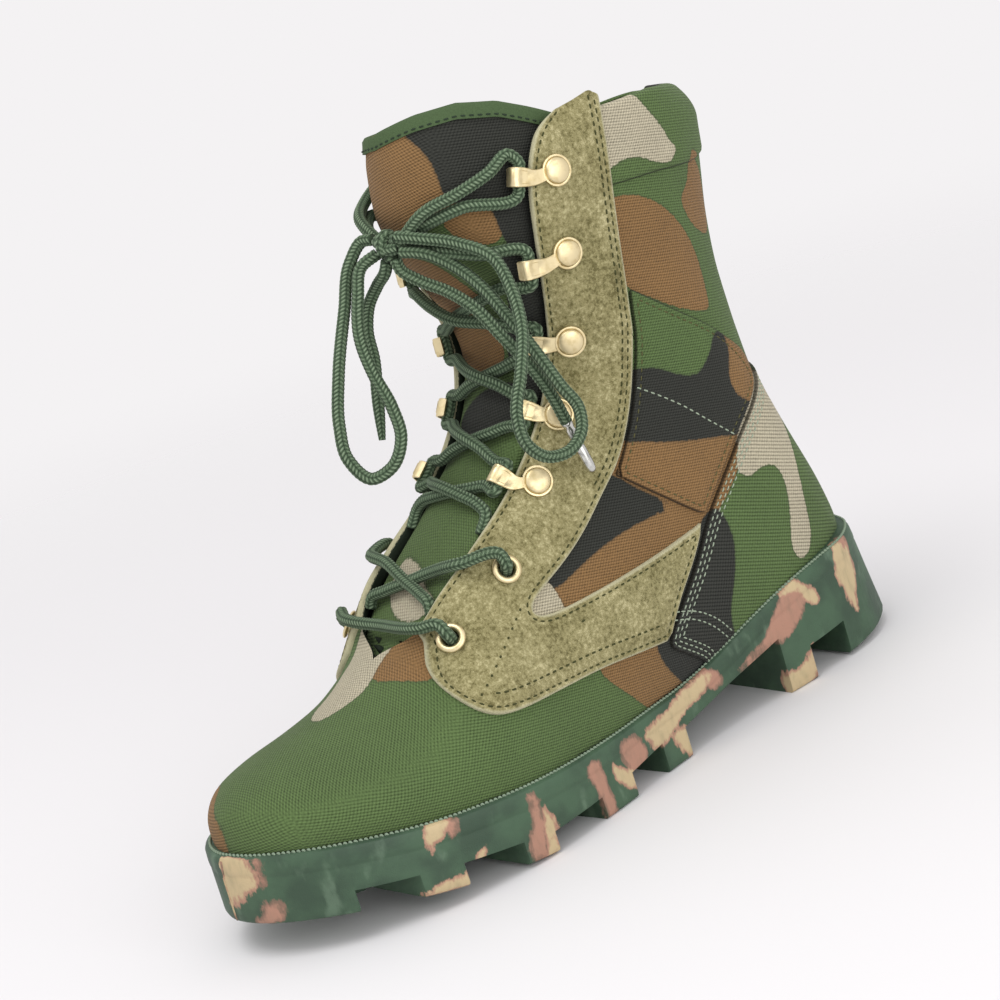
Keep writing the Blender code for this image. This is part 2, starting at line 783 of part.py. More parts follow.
def bore(name, u, s, side):
    """Cutter through upper and facing for one eyelet."""
    axes = fixing_axes(u, s, side)
    centre = surface(u, s, side)
    points = []
    for height in (-8.0, 8.0):
        for k in range(EYELET_SEGMENTS):
            turn = 2 * math.pi * k / EYELET_SEGMENTS
            ray = axes[0] * math.cos(turn) + axes[1] * math.sin(turn)
            points.append(centre + ray * EYELET_HOLE + axes[2] * height)
    count = EYELET_SEGMENTS
    faces = [tuple(range(count)), tuple(range(count, 2 * count))]
    faces += [(k, (k + 1) % count, (k + 1) % count + count, k + count) for k in range(count)]
    return cutter(name, points, faces)


def eyelet(name, u, s, side):
    axes = fixing_axes(u, s, side)
    low = OVERLAY_LIFT + SUEDE_THICKNESS + 2 * GAP
    profile = (
        (EYELET_BORE, -WALL),
        (EYELET_BARREL, -WALL),
        (EYELET_BARREL, low),
        (EYELET_RADIUS, low),
        (EYELET_RADIUS - 0.9, low + EYELET_HEIGHT),
        (EYELET_BORE, low + EYELET_HEIGHT * 0.7),
    )
    return turned(name, surface(u, s, side), axes, profile, EYELET_SEGMENTS, BRASS)


def tongue_face(u, q):
    """Point and outward normal of the tongue between the throat edges, q from 0 outer to 1 inner."""
    depth = WALL + TONGUE_CLEARANCE

    def at(row, share):
        start, end = [surface(row, 1.0, side) - outward(row, 0.985, side) * depth for side in (1, -1)]
        centre = 0.5 * (start + end)
        nose_x, nose_z = nose_line(row)
        push = np.array((nose_x, centre[1], nose_z)) - centre
        turn = math.pi * share
        return centre + 0.5 * (start - end) * math.cos(turn) + push * math.sin(turn)

    along = at(min(u + 0.02, TOP_ROW), q) - at(u - 0.02, q)
    across = at(u, q + 0.005) - at(u, q - 0.005)
    normal = np.cross(across, along)
    if normal[0] + normal[2] < 0:
        normal = -normal
    return at(u, q), normal / np.linalg.norm(normal), along / np.linalg.norm(along)


def edge_frame(u, side):
    """Point of the throat edge, and forward, along and outward there."""
    edge = surface(u, 1.0, side)
    along = surface(u + 0.05, 1.0, side) - surface(u - 0.05, 1.0, side)
    along /= np.linalg.norm(along)
    out = outward(u, 0.985, side)
    out -= along * out.dot(along)
    out /= np.linalg.norm(out)
    forward = np.cross(along, out)
    if forward.dot(edge - surface(u, 0.95, side)) < 0:
        forward = -forward
    return edge, forward, along, out


def on_tongue(u, q, rise=0.0):
    """Middle of a lace that lies on the tongue, risen further by rise."""
    point, normal, _ = tongue_face(u, q)
    return point + normal * (LACE_RADIUS + LACE_LIFT + rise)


def hook(name, u, s, tip, side):
    """Riveted strip that runs past the throat edge, over the lace, and turns down in front of it."""
    rise = OVERLAY_LIFT + SUEDE_THICKNESS + 2 * GAP
    edge, forward, along, out = edge_frame(tip, side)
    axes = list(fixing_axes(u, s, side))
    rivet = surface(u, s, side) + axes[2] * rise
    axes[0] = edge - rivet - axes[2] * (edge - rivet).dot(axes[2])
    axes[0] /= np.linalg.norm(axes[0])
    axes[1] = np.cross(axes[2], axes[0])
    path = [rivet - axes[0] * 2.5, rivet + axes[0] * 2.0]
    path += [edge + forward * ahead + out * (rise + height) for ahead, height, _ in HOOK_STRIP]
    widths = [HOOK_NECK, HOOK_NECK] + [width for _, _, width in HOOK_STRIP]
    facing = np.sign(np.cross(path[1] - path[0], along).dot(axes[2]))
    points = []
    for k, spot in enumerate(path):
        before = path[k] - path[k - 1] if k else path[1] - path[0]
        after = path[k + 1] - path[k] if k + 1 < len(path) else before
        turns = [np.cross(run, along) * facing for run in (before, after)]
        turns = [top / np.linalg.norm(top) for top in turns]
        top = turns[0] + turns[1]
        top *= 2.0 / top.dot(top) * HOOK_THICKNESS
        half = along * widths[k] / 2
        points += [spot - half, spot + half, spot + half + top, spot - half + top]
    faces = [(0, 1, 2, 3)]
    for k in range(len(path) - 1):
        a = 4 * k
        faces += [(a + i, a + (i + 1) % 4, a + (i + 1) % 4 + 4, a + i + 4) for i in range(4)]
    last = 4 * (len(path) - 1)
    faces.append((last, last + 1, last + 2, last + 3))
    strip = new_object(name, points, faces, BRASS)
    rings = ((RIVET_RADIUS, 0.0), (RIVET_RADIUS, 1.2), (RIVET_RADIUS * 0.55, RIVET_HEIGHT))
    points = []
    for radius, height in rings:
        for k in range(RIVET_SEGMENTS):
            turn = 2 * math.pi * k / RIVET_SEGMENTS
            ray = axes[0] * math.cos(turn) + axes[1] * math.sin(turn)
            points.append(rivet + ray * radius + axes[2] * height)
    count = RIVET_SEGMENTS
    faces = [tuple(range(count)), tuple(range(2 * count, 3 * count))]
    faces += [(count * r + k, count * r + (k + 1) % count, count * (r + 1) + (k + 1) % count, count * (r + 1) + k)
              for r in range(2) for k in range(count)]
    boolean(strip, cutter("rivet_" + name, points, faces), "UNION")
    return strip


def stretch(rows, spots, spacing):
    """Rows about spacing apart on a smooth curve through rows that stand at spots in space."""
    rows = np.asarray(rows, float)
    steps = np.linalg.norm(np.diff(np.asarray(spots, float), axis=0), axis=1)
    slopes = np.gradient(rows, np.concatenate(([0.0], np.cumsum(steps))), axis=0)
    points = [rows[0]]
    for k, step in enumerate(steps):
        pieces = max(1, round(step / spacing))
        points += [blend(rows, slopes * step, k, (i + 1) / pieces) for i in range(pieces)]
    return points


def curve_through(route, spacing):
    """Points about spacing apart on a smooth curve through route points."""
    return stretch(route, route, spacing)


def tube(name, route, radius, finish, hidden=False):
    """Round tube with flat ends along points."""
    path = [np.array(p) for p in route]
    runs = [path[min(k + 1, len(path) - 1)] - path[max(k - 1, 0)] for k in range(len(path))]
    runs = [run / np.linalg.norm(run) for run in runs]
    side = np.cross(runs[0], (0.3, 0.2, 0.9))
    points = []
    for centre, run in zip(path, runs):
        side = side - run * side.dot(run)
        side /= np.linalg.norm(side)
        up = np.cross(run, side)
        for k in range(LACE_SIDES):
            turn = 2 * math.pi * k / LACE_SIDES
            points.append(centre + (side * math.cos(turn) + up * math.sin(turn)) * radius)
    faces = [tuple(range(LACE_SIDES)), tuple(range(len(points) - LACE_SIDES, len(points)))]
    for r in range(len(path) - 1):
        a = r * LACE_SIDES
        for k in range(LACE_SIDES):
            b = (k + 1) % LACE_SIDES
            faces.append((a + k, a + b, a + b + LACE_SIDES, a + k + LACE_SIDES))
    if hidden:
        return cutter(name, points, faces)
    return new_object(name, points, faces, finish)


def hook_strand(side):
    """Half of the lace, from the upper eyelet of a side through the hooks to the knot."""
    height = OVERLAY_LIFT + SUEDE_THICKNESS + 2 * GAP + HOOK_STRIP[1][1] - LACE_RADIUS - 0.4
    left = 10.75
    route = [on_tongue(left, 0.5 - 0.40 * side)]
    for _, _, tip in HOOKS:
        for share in (0.22, 0.36, 0.5, 0.64, 0.78):
            route.append(on_tongue(left + (tip - left) * share, 0.5 - (0.5 - share) * side, LACE_SLACK))
        side = -side
        edge, forward, along, out = edge_frame(tip, side)
        held = edge + forward * HOOK_LACE + out * height
        route += [held + along * HOOK_STRAIGHT * shift for shift in (-1, 0, 1)]
        left = tip
    route.append(held + along * (HOOK_STRAIGHT + 2.6) + forward * 3.0 - out)
    route.append(on_tongue(24.6, 0.5 - 0.37 * side, 1.0))
    route.append(on_tongue(23.6, 0.5 - 0.28 * side, 1.4))
    route.append(on_tongue(22.8, 0.5 - 0.17 * side, 3.0))
    return curve_through(route, LACE_STEP)


def eyelet_strand(side):
    """Half of the lace, from under the facing of a side to over the upper eyelet of the other side."""
    top = OVERLAY_LIFT + SUEDE_THICKNESS + 2 * GAP + EYELET_HEIGHT + LACE_RADIUS + 0.4
    u, s = EYELETS[1]
    route = [on_tongue(8.75 + 0.25 * k, 0.5 - (0.38 - 0.19 * k) * side, 0.2 + 0.3 * k) for k in range(4)]
    route.append(surface(9.65, 0.985, -side) + outward(9.65, 0.985, -side) * (top - 0.6))
    route.append(surface(u, s + 0.01, -side) + outward(u, s, -side) * (top + 0.3))
    return curve_through(route, LACE_STEP)


def bottom_bar():
    """Lace over the lower eyelets, straight across the foot of the throat."""
    top = OVERLAY_LIFT + SUEDE_THICKNESS + 2 * GAP + EYELET_HEIGHT + LACE_RADIUS + 0.4
    u, s = EYELETS[0]
    ends = [surface(u, s, side) + outward(u, s, side) * (top + 1.3) for side in (1, -1)]
    edges = [surface(8.2, 0.95, side) + outward(8.2, 0.95, side) * (top - 1.0) for side in (1, -1)]
    return curve_through([ends[0], edges[0], on_tongue(8.15, 0.5, 2.2), edges[1], ends[1]], LACE_STEP)


def cord(name, route, radius, finish):
    """Lace as a bevelled curve."""
    data = bpy.data.curves.new(name, "CURVE")
    data.dimensions = "3D"
    data.bevel_depth = radius * MM
    data.bevel_resolution = 2
    data.use_fill_caps = True
    points = curve_through(route, 5.0 * radius)
    strand = data.splines.new("POLY")
    strand.points.add(len(points) - 1)
    for knot, point in zip(strand.points, points):
        knot.co = (*place(point), 1.0)
    made = bpy.data.objects.new(name, data)
    bpy.context.scene.collection.objects.link(made)
    data.materials.append(material(name, finish))
    return made


def aglet(name, route):
    """Metal tip on the free end of a lace."""
    end = np.array(route[-1])
    run = end - np.array(route[-2])
    run /= np.linalg.norm(run)
    return tube(name, [end + run * GAP, end + run * (GAP + AGLET_LENGTH)], AGLET_RADIUS, STEEL)


for old in list(bpy.data.objects):
    bpy.data.objects.remove(old, do_unlink=True)

outsole()
insole()
shell = upper()
tongue()
facings = {}
for side_name, side in (("lateral", 1), ("medial", -1)):
    facings[side] = overlay("eyestay_" + side_name, (7, TOP_ROW), grid_columns(0.0, 1.0), (side,),
                            EYESTAY, SUEDE_THICKNESS, SUEDE)
    overlay("ankle_band_" + side_name, (11, 24), grid_columns(0.0, 1.0), (side,),
            ANKLE_BAND, CANVAS_THICKNESS, CANVAS)
counter = overlay("heel_counter", (10, 26), grid_columns(0.0, 0.8), (1, -1), HEEL_COUNTER, CANVAS_THICKNESS, CANVAS)
boolean(counter, bpy.data.objects["cut_seat"], "DIFFERENCE")
overlay("collar_cuff", (20, TOP_ROW), grid_columns(0.0, 1.0), (1, -1), COLLAR_CUFF, CUFF_THICKNESS, CANVAS)
for side_name, side in (("lateral", 1), ("medial", -1)):
    for number, (u, s) in enumerate(EYELETS, 1):
        eyelet(f"eyelet_{side_name}_{number}", u, s, side)
        hole = bore(f"cut_eyelet_{side_name}_{number}", u, s, side)
        boolean(shell, hole, "DIFFERENCE")
        boolean(facings[side], hole, "DIFFERENCE")
    for number, (u, s, tip) in enumerate(HOOKS, 1):
        hook(f"hook_{side_name}_{number}", u, s, tip, side)

tube("lace_bar", bottom_bar(), LACE_RADIUS, CORD)
for name, strand in (("lace_crossing_low", eyelet_strand), ("lace_crossings", hook_strand)):
    whole = tube(name, strand(1), LACE_RADIUS, CORD)
    boolean(whole, tube("other_" + name, strand(-1), LACE_RADIUS, CORD, hidden=True), "UNION")
cord("lace_knot", KNOT, KNOT_RADIUS, CORD)
cord("lace_loop_medial", LOOP_MEDIAL, LACE_RADIUS, CORD)
cord("lace_loop_lateral", LOOP_LATERAL, LACE_RADIUS, CORD)
cord("lace_end_medial", END_MEDIAL, LACE_RADIUS, CORD)
cord("lace_end_lateral", END_LATERAL, LACE_RADIUS, CORD)
aglet("aglet_lateral", END_LATERAL)
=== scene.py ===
"""Looks of a left camouflage boot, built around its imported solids.

Sizes are in millimetres in the boot's own frame: x from the back of the heel to the toe, y towards the outer
side of the foot, z up from the floor. Pieces are placed in metres, with the middle of the footprint
at the origin.
"""

from __future__ import annotations

import logging
import math
from dataclasses import dataclass, field
from enum import Enum
from typing import ClassVar, Sequence

import bmesh
import bpy
import numpy as np
from mathutils import Matrix, Vector, noise


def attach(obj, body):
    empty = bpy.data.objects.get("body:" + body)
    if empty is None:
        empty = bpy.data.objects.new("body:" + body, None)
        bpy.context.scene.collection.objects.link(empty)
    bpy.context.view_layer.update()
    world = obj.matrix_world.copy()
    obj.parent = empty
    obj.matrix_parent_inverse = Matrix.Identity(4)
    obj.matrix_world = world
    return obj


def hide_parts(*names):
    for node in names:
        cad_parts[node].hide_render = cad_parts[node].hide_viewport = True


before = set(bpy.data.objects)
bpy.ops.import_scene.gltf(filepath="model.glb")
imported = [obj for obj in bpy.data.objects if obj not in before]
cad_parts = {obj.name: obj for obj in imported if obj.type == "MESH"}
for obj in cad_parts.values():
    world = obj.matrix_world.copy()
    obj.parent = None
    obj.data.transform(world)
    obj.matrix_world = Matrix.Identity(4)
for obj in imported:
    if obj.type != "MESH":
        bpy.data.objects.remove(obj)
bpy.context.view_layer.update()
log = logging.getLogger("boot")

Rows = tuple[tuple[float, ...], ...]
Array = np.ndarray
Faces = list[tuple[int, ...]]
Colour = tuple[int, int, int]
Material = bpy.types.Material

MM = 0.001
BODY = "root"
NOISE_SEED = 7
LENGTH = 302.0
SEAT_DEPTH = 1.2
FEATHER_INSET = 4.0
WALL = 2.4
# Distance from a cut edge given where neither the canvas's painted edge shade nor the suede's pale edge
# should show
CLEAR_OF_RIM = 9.0
CLOTH_WAVE = 34.0
CLOTH_SWELL = 0.45
EYELET_HOLE = 3.75
ROW_STEPS = 6
COLUMNS = 61
THROAT_ROW = 7
HEEL_ROW = 18
TOP_ROW = 29
FAN_STEPS = 60
# Share of the way up a section just below the throat edge, where the normal still holds
BY_THE_EDGE = 0.985

# Plan of the sole: x, middle, half width
OUTLINE: Rows = (
    (0.0, 0.0, 0.0),
    (4.0, 0.0, 15.0),
    (12.0, 0.0, 24.5),
    (28.0, 0.0, 33.5),
    (50.0, 0.0, 37.5),
    (75.0, 0.5, 38.0),
    (105.0, 2.5, 36.0),
    (135.0, 4.0, 38.0),
    (165.0, 3.5, 44.5),
    (195.0, 2.0, 51.0),
    (215.0, 1.5, 52.5),
    (240.0, 1.0, 50.0),
    (261.0, 0.5, 44.5),
    (278.0, 0.0, 36.5),
    (290.5, -0.5, 25.5),
    (298.5, -0.5, 13.5),
    (302.0, -0.5, 0.0),
)
# Top edge of the sole, where the upper meets it: x, z
FEATHER: Rows = (
    (0.0, 37.5),
    (30.0, 37.3),
    (60.0, 36.0),
    (82.0, 33.0),
    (103.0, 28.0),
    (125.0, 24.8),
    (150.0, 24.2),
    (178.0, 24.6),
    (208.0, 26.6),
    (247.0, 30.4),
    (276.0, 34.8),
    (302.0, 38.2),
)
# Underside of the sole with its toe spring: x, z
UNDERSIDE: Rows = (
    (0.0, 0.0),
    (120.0, 0.0),
    (170.0, 0.0),
    (197.0, 0.0),
    (217.0, 1.6),
    (241.0, 5.0),
    (257.0, 7.6),
    (279.0, 11.0),
    (302.0, 13.4),
)
# Sections of the foot, toe to heel: foot x, top x, top z, throat half gap, half width, widest share,
# fullness, middle y
FOOT: Rows = (
    (298.0, 297.4, 45.5, 0.0, 0.0, 0.30, 2.00, -0.5),
    (296.4, 296.0, 48.8, 0.0, 8.5, 0.30, 2.00, -0.5),
    (291.2, 291.0, 53.0, 0.0, 19.6, 0.28, 2.00, -0.5),
    (282.0, 281.8, 57.0, 0.0, 30.4, 0.26, 1.95, -0.5),
    (267.5, 267.3, 59.8, 0.0, 39.2, 0.24, 1.85, -0.5),
    (250.5, 250.0, 62.2, 0.0, 44.8, 0.22, 1.80, -0.5),
    (235.0, 233.0, 66.8, 0.0, 47.6, 0.20, 1.75, -0.5),
    (222.0, 221.0, 74.6, 0.0, 48.8, 0.18, 1.70, -0.5),
    (209.0, 211.5, 81.5, 17.0, 49.4, 0.16, 1.80, -0.5),
    (194.0, 200.0, 91.5, 22.0, 48.0, 0.17, 1.75, -0.5),
    (174.0, 184.7, 101.4, 23.5, 43.8, 0.19, 1.70, 0.0),
    (148.0, 166.8, 112.4, 24.0, 40.6, 0.23, 1.75, 0.0),
    (118.0, 151.0, 125.4, 24.5, 39.4, 0.29, 1.80, 0.0),
    (88.0, 140.5, 138.0, 25.5, 39.6, 0.35, 1.90, 0.0),
    (60.0, 135.0, 149.0, 27.0, 40.0, 0.40, 1.95, 0.0),
    (36.0, 132.2, 158.5, 29.0, 40.2, 0.42, 2.00, 0.0),
    (19.0, 131.4, 167.8, 31.4, 40.4, 0.41, 2.00, 0.0),
    (9.0, 131.8, 175.8, 34.2, 40.8, 0.38, 2.00, 0.0),
    (4.2, 132.2, 183.5, 36.5, 41.2, 0.36, 2.00, 0.0),
)
# Sections of the shaft, heel to collar: back x, back z, top x, top z, throat half gap, half width,
# widest share, fullness
SHAFT: Rows = (
    (7.0, 48.0, 131.5, 190.0, 37.0, 41.5, 0.35, 2.0),
    (12.0, 62.0, 130.8, 196.0, 37.5, 41.8, 0.35, 2.0),
    (18.8, 77.0, 130.2, 201.5, 38.0, 42.0, 0.34, 2.0),
    (26.0, 94.0, 129.2, 207.0, 38.0, 42.2, 0.34, 2.0),
    (31.5, 112.0, 128.0, 212.0, 38.0, 42.4, 0.34, 2.0),
    (35.5, 130.0, 126.4, 217.0, 38.0, 42.6, 0.35, 2.0),
    (37.8, 149.0, 124.2, 221.5, 38.0, 42.8, 0.35, 2.0),
    (36.6, 168.0, 121.4, 226.0, 38.0, 43.0, 0.36, 2.0),
    (33.2, 187.0, 118.0, 230.0, 38.0, 43.2, 0.37, 2.0),
    (29.8, 206.0, 113.8, 233.2, 38.0, 43.5, 0.37, 2.0),
    (27.0, 224.0, 109.0, 236.0, 38.0, 43.8, 0.39, 2.0),
)
# Rise of the upper's top edge: x, outer side, inner side, outer side in the cuff, inner side in the cuff
TOP_EDGE: Rows = (
    (55.0, 0.0, -3.0, -11.0, -13.0),
    (78.0, 0.0, -3.0, -6.0, -12.0),
    (91.0, 0.4, -3.0, -5.0, -10.0),
    (95.0, 3.2, -1.0, 1.0, -5.0),
    (109.0, -2.0, -3.0, -2.5, -4.0),
    (116.0, -2.0, -3.0, -2.5, -4.0),
)
TOP_EDGE_ROW = 26.0
# Zones where the heel is drawn in: start and signed length of the blend, along x, down in z and up in z
HEEL_BEHIND, HEEL_LOW, HEEL_HIGH = (80.0, -70.0), (155.0, -50.0), (190.0, 30.0)
# Distance forward at the heel and at the collar, share of the width lost at the heel
HEEL_FORWARD, COLLAR_FORWARD, HEEL_NARROW = 7.5, 2.5, 0.07
# Front line of the tongue: section number, x, z
TONGUE_NOSE: Rows = (
    (7.0, 220.0, 69.5),
    (8.0, 211.0, 78.5),
    (9.0, 199.5, 88.5),
    (10.0, 185.5, 100.0),
    (12.0, 154.5, 127.5),
    (14.0, 139.0, 149.5),
    (16.0, 138.0, 169.0),
    (18.0, 147.0, 187.0),
    (20.0, 155.0, 201.5),
    (22.0, 158.5, 212.5),
    (26.0, 158.5, 231.0),
    (29.0, 156.5, 240.5),
)


class Side(Enum):
    """Outer or inner side of the foot."""

    LATERAL = 1
    MEDIAL = -1

    @property
    def word(self) -> str:
        """Side as it stands in the names of pieces."""
        return self.name.lower()


class Print(Enum):
    """Colours printed over the green ground of the canvas, lowest layer first."""

    BROWN = "brown"
    BLACK = "black"
    TAN = "tan"


class Grain(Enum):
    """Ways that the canvas is woven."""

    TWILL = "twill"
    RIBBED = "ribbed"


class Smear(Enum):
    """Colours moulded into the green rubber."""

    TAN = "smear_tan"
    PINK = "smear_pink"


# Printed blotches seen from the side: x, z
SIDE_PRINT: tuple[tuple[Print, Rows], ...] = (
    (Print.BROWN, ((106, 200), (92, 199), (82, 194), (74, 186), (68, 176), (65, 165), (66, 152),
                   (68, 147), (78, 151), (85, 155), (93, 161), (104, 169), (106, 186))),
    (Print.BROWN, ((54, 206), (47, 196), (45, 180), (52, 170), (63, 177), (67, 186), (66, 190), (60, 193))),
    (Print.TAN, ((99, 240), (85, 240), (78, 232), (73, 222), (69, 215), (67, 210), (64, 207), (67, 204),
                 (71, 203), (78, 206), (82, 209), (89, 211), (100, 208), (102, 222))),
    (Print.BLACK, ((113, 140), (100, 138), (93, 133), (85, 128), (81, 129), (75, 134), (71, 140),
                   (66, 139), (66, 131), (70, 123), (69, 116), (64, 111), (56, 107), (62, 104),
                   (69, 100), (74, 102), (85, 105), (93, 107), (105, 111), (112, 114), (121, 117))),
    (Print.BROWN, ((68, 139), (60, 133), (53, 127), (46, 118), (52, 106), (66, 104), (75, 114),
                   (75, 126), (71, 136))),
    (Print.BROWN, ((135, 109), (119, 119), (109, 115), (93, 109), (85, 107), (73, 104), (64, 103),
                   (73, 92), (89, 78), (97, 77), (113, 90), (131, 104))),
    (Print.BLACK, ((140, 110), (128, 109), (119, 98), (106, 87), (123, 88), (141, 86), (155, 82),
                   (166, 79), (176, 82), (160, 91), (146, 100))),
    (Print.BROWN, ((168, 83), (155, 85), (141, 89), (123, 91), (107, 90), (92, 84), (88, 74), (100, 60),
                   (114, 50), (124, 38), (134, 42), (126, 60), (130, 68), (151, 68), (169, 67))),
    (Print.TAN, ((185, 70), (178, 86), (168, 86), (165, 80), (165, 76), (164, 68), (177, 64))),
    (Print.BROWN, ((163, 49), (153, 56), (137, 52), (118, 40), (104, 28), (112, 20), (124, 18),
                   (134, 19), (142, 23), (149, 31), (157, 40))),
    (Print.TAN, ((47, 120), (43, 104), (44, 91), (45, 77), (45, 64), (45, 52), (49, 45), (54, 44),
                 (58, 49), (57, 57), (55, 64), (54, 73), (55, 80), (59, 85), (66, 86), (72, 84),
                 (78, 90), (66, 108))),
    (Print.BLACK, ((90, 82), (86, 69), (87, 60), (92, 48), (96, 40), (93, 26), (105, 18), (120, 20),
                   (136, 42), (127, 56), (114, 64), (100, 76))),
)
# Printed blotches of the back: y, z
BACK_PRINT: tuple[tuple[Print, Rows], ...] = (
    (Print.BLACK, ((4, 56), (18, 66), (24, 84), (14, 98), (-2, 96), (-8, 78), (-6, 62))),
    (Print.BROWN, ((-26, 44), (-14, 40), (-4, 48), (-10, 60), (-24, 64))),
    (Print.TAN, ((-14, 150), (-4, 162), (-6, 184), (-14, 190), (-24, 176), (-22, 156))),
    (Print.BROWN, ((6, 120), (20, 128), (24, 150), (18, 166), (8, 152), (0, 134))),
    (Print.BLACK, ((10, 206), (22, 212), (24, 232), (12, 246), (-2, 230))),
)
BACK_END = 46.0
# Print of the inner side: x where it begins to move, length of that change, move in x and z
INNER_PRINT_START, INNER_PRINT_BLEND, INNER_PRINT_MOVE = 34.0, 40.0, (-9.0, 16.0)
# Printed blotches of the vamp seen from above: x, y
VAMP_PRINT: tuple[tuple[Print, Rows], ...] = (
    (Print.TAN, ((250, -2), (236, 3), (227, 5), (220, 4), (214, 9), (200, 4), (204, -12), (222, -22),
                 (244, -14))),
    (Print.BROWN, ((228, 4), (224, 16), (217, 30), (200, 32), (196, 15), (208, 6), (220, 2))),
    (Print.BROWN, ((282, -18), (290, -11), (295, -6), (297, 0), (298.5, 5), (305, 8), (308, -12),
                   (296, -32), (284, -28))),
    (Print.BLACK, ((266, -24), (276, -32), (268, -48), (246, -58), (226, -56), (238, -36))),
    (Print.BROWN, ((222, -34), (232, -46), (214, -60), (190, -58), (188, -40), (206, -28))),
)
# Printed blotches of the tongue: section number, share of the way across from the outer side
TONGUE_PRINT: tuple[tuple[Print, Rows], ...] = (
    (Print.BLACK, ((28.4, 0.39), (29.6, 0.31), (30.0, 0.16), (30.0, 0.0), (29.0, -0.2), (18.0, -0.2),
                   (18.7, 0.05), (19.5, 0.10), (20.3, 0.12), (21.7, 0.12), (22.5, 0.14), (23.0, 0.19),
                   (22.8, 0.24), (23.2, 0.27), (24.7, 0.28), (26.0, 0.30), (27.1, 0.34))),
    (Print.BROWN, ((26.4, 0.74), (29.5, 0.55), (29.2, 0.40), (27.1, 0.32), (26.0, 0.28), (24.7, 0.26),
                   (23.2, 0.25), (22.3, 0.29), (21.5, 0.38), (20.8, 0.52), (22.0, 0.72))),
    (Print.BROWN, ((22.6, 0.28), (23.0, 0.23), (23.2, 0.18), (22.6, 0.13), (21.5, 0.11), (20.2, 0.11),
                   (19.8, 0.19), (20.3, 0.26), (20.9, 0.30), (21.7, 0.31))),
    (Print.BROWN, ((19.9, 0.72), (19.5, 0.51), (18.7, 0.45), (17.7, 0.41), (16.8, 0.37), (16.2, 0.52),
                   (16.3, 0.74), (17.2, 0.84), (18.4, 0.86))),
    (Print.BROWN, ((15.7, 0.86), (15.9, 0.69), (15.9, 0.49), (15.4, 0.41), (14.4, 0.38), (14.1, 0.51),
                   (13.9, 0.72), (14.2, 0.90))),
    (Print.BLACK, ((20.0, 0.13), (19.4, 0.05), (19.0, -0.2), (12.4, -0.2), (12.8, 0.12), (13.6, 0.28),
                   (14.4, 0.36), (15.3, 0.38), (15.6, 0.32), (17.3, 0.22), (18.9, 0.20))),
    (Print.BLACK, ((13.1, 0.69), (13.6, 0.51), (13.8, 0.31), (13.2, 0.15), (12.7, 0.18), (12.4, 0.34),
                   (12.2, 0.53), (12.5, 0.84))),
    (Print.TAN, ((9.9, 0.75), (9.7, 0.54), (9.2, 0.38), (8.9, 0.17), (8.4, 0.33), (8.5, 0.58),
                 (9.2, 0.78))),
    (Print.BLACK, ((28.0, 1.2), (28.6, 0.86), (26.0, 0.80), (24.0, 0.90), (23.4, 1.2))),
)
# Smears of the sole's outer wall: x, z
SOLE_SMEARS: tuple[tuple[Smear, Rows], ...] = (
    (Smear.TAN, ((306, 44), (298, 41), (296, 33), (298, 26), (303, 18), (308, 16), (310, 30))),
    (Smear.PINK, ((298, 38), (295, 39), (295, 29), (298, 25), (298, 31))),
    (Smear.PINK, ((298, 21), (295, 23), (292, 20), (295, 13), (301, 11))),
    (Smear.TAN, ((250, 32), (244, 33), (240, 30), (244, 24), (247, 24), (250, 19), (251, 26))),
    (Smear.PINK, ((242, 31), (237, 30), (239, 24), (243, 22), (244, 25))),
    (Smear.TAN, ((230, 17), (236, 14), (240, 10), (247, 11), (254, 10), (259, 8), (246, 5), (240, 4),
                 (235, 8))),
    (Smear.PINK, ((211, 28), (207, 23), (206, 15), (208, 8), (210, 0), (216, 0), (217, 8), (213, 16))),
    (Smear.TAN, ((208, 22), (205, 17), (202, 10), (205, 5), (202, -1), (211, -1), (209, 10), (208, 17))),
    (Smear.PINK, ((183, 23), (176, 22), (175, 15), (175, 8), (174, -2), (180, -2), (181, 9), (184, 18))),
    (Smear.TAN, ((171, 19), (166, 13), (160, 8), (154, 9), (156, 0), (166, 4), (173, 11))),
    (Smear.PINK, ((163, 23), (154, 20), (152, 12), (157, 7), (163, 9), (167, 16))),
    (Smear.TAN, ((153, 20), (142, 21), (130, 24), (117, 26), (110, 24), (116, 19), (126, 17), (133, 14),
                 (142, 10), (150, 11))),
    (Smear.PINK, ((118, 27), (110, 25), (106, 19), (112, 17), (118, 21))),
    (Smear.TAN, ((140, 13), (132, 13), (125, 12), (126, 4), (128, -2), (134, 2), (138, 8))),
    (Smear.PINK, ((102, 18), (92, 23), (83, 25), (76, 33), (69, 39), (61, 37), (57, 30), (65, 24),
                  (74, 19), (82, 20), (90, 17))),
    (Smear.TAN, ((74, 36), (66, 40), (59, 39), (51, 30), (54, 25), (60, 29), (63, 35), (68, 35))),
    (Smear.TAN, ((37, 46), (30, 41), (25, 32), (30, 22), (34, 12), (38, 21), (40, 30), (40, 38))),
    (Smear.PINK, ((34, 48), (28, 44), (26, 34), (31, 35), (34, 41))),
    (Smear.TAN, ((80, 10), (69, 8), (64, 12), (60, 14), (60, 2), (71, -3), (80, -2))),
    (Smear.PINK, ((63, 14), (59, 11), (60, 4), (67, -1), (69, 6))),
    (Smear.TAN, ((2, 30), (8, 26), (10, 12), (4, 6), (0, 16))),
)


def srgb(red: int, green: int, blue: int) -> tuple[float, float, float, float]:
    """Colour as a screen shows it, from 0 to 255, in the shader's linear numbers."""
    parts = [c / 255 for c in (red, green, blue)]
    linear = [c / 12.92 if c <= 0.04045 else ((c + 0.055) / 1.055) ** 2.4 for c in parts]
    return (*linear, 1.0)


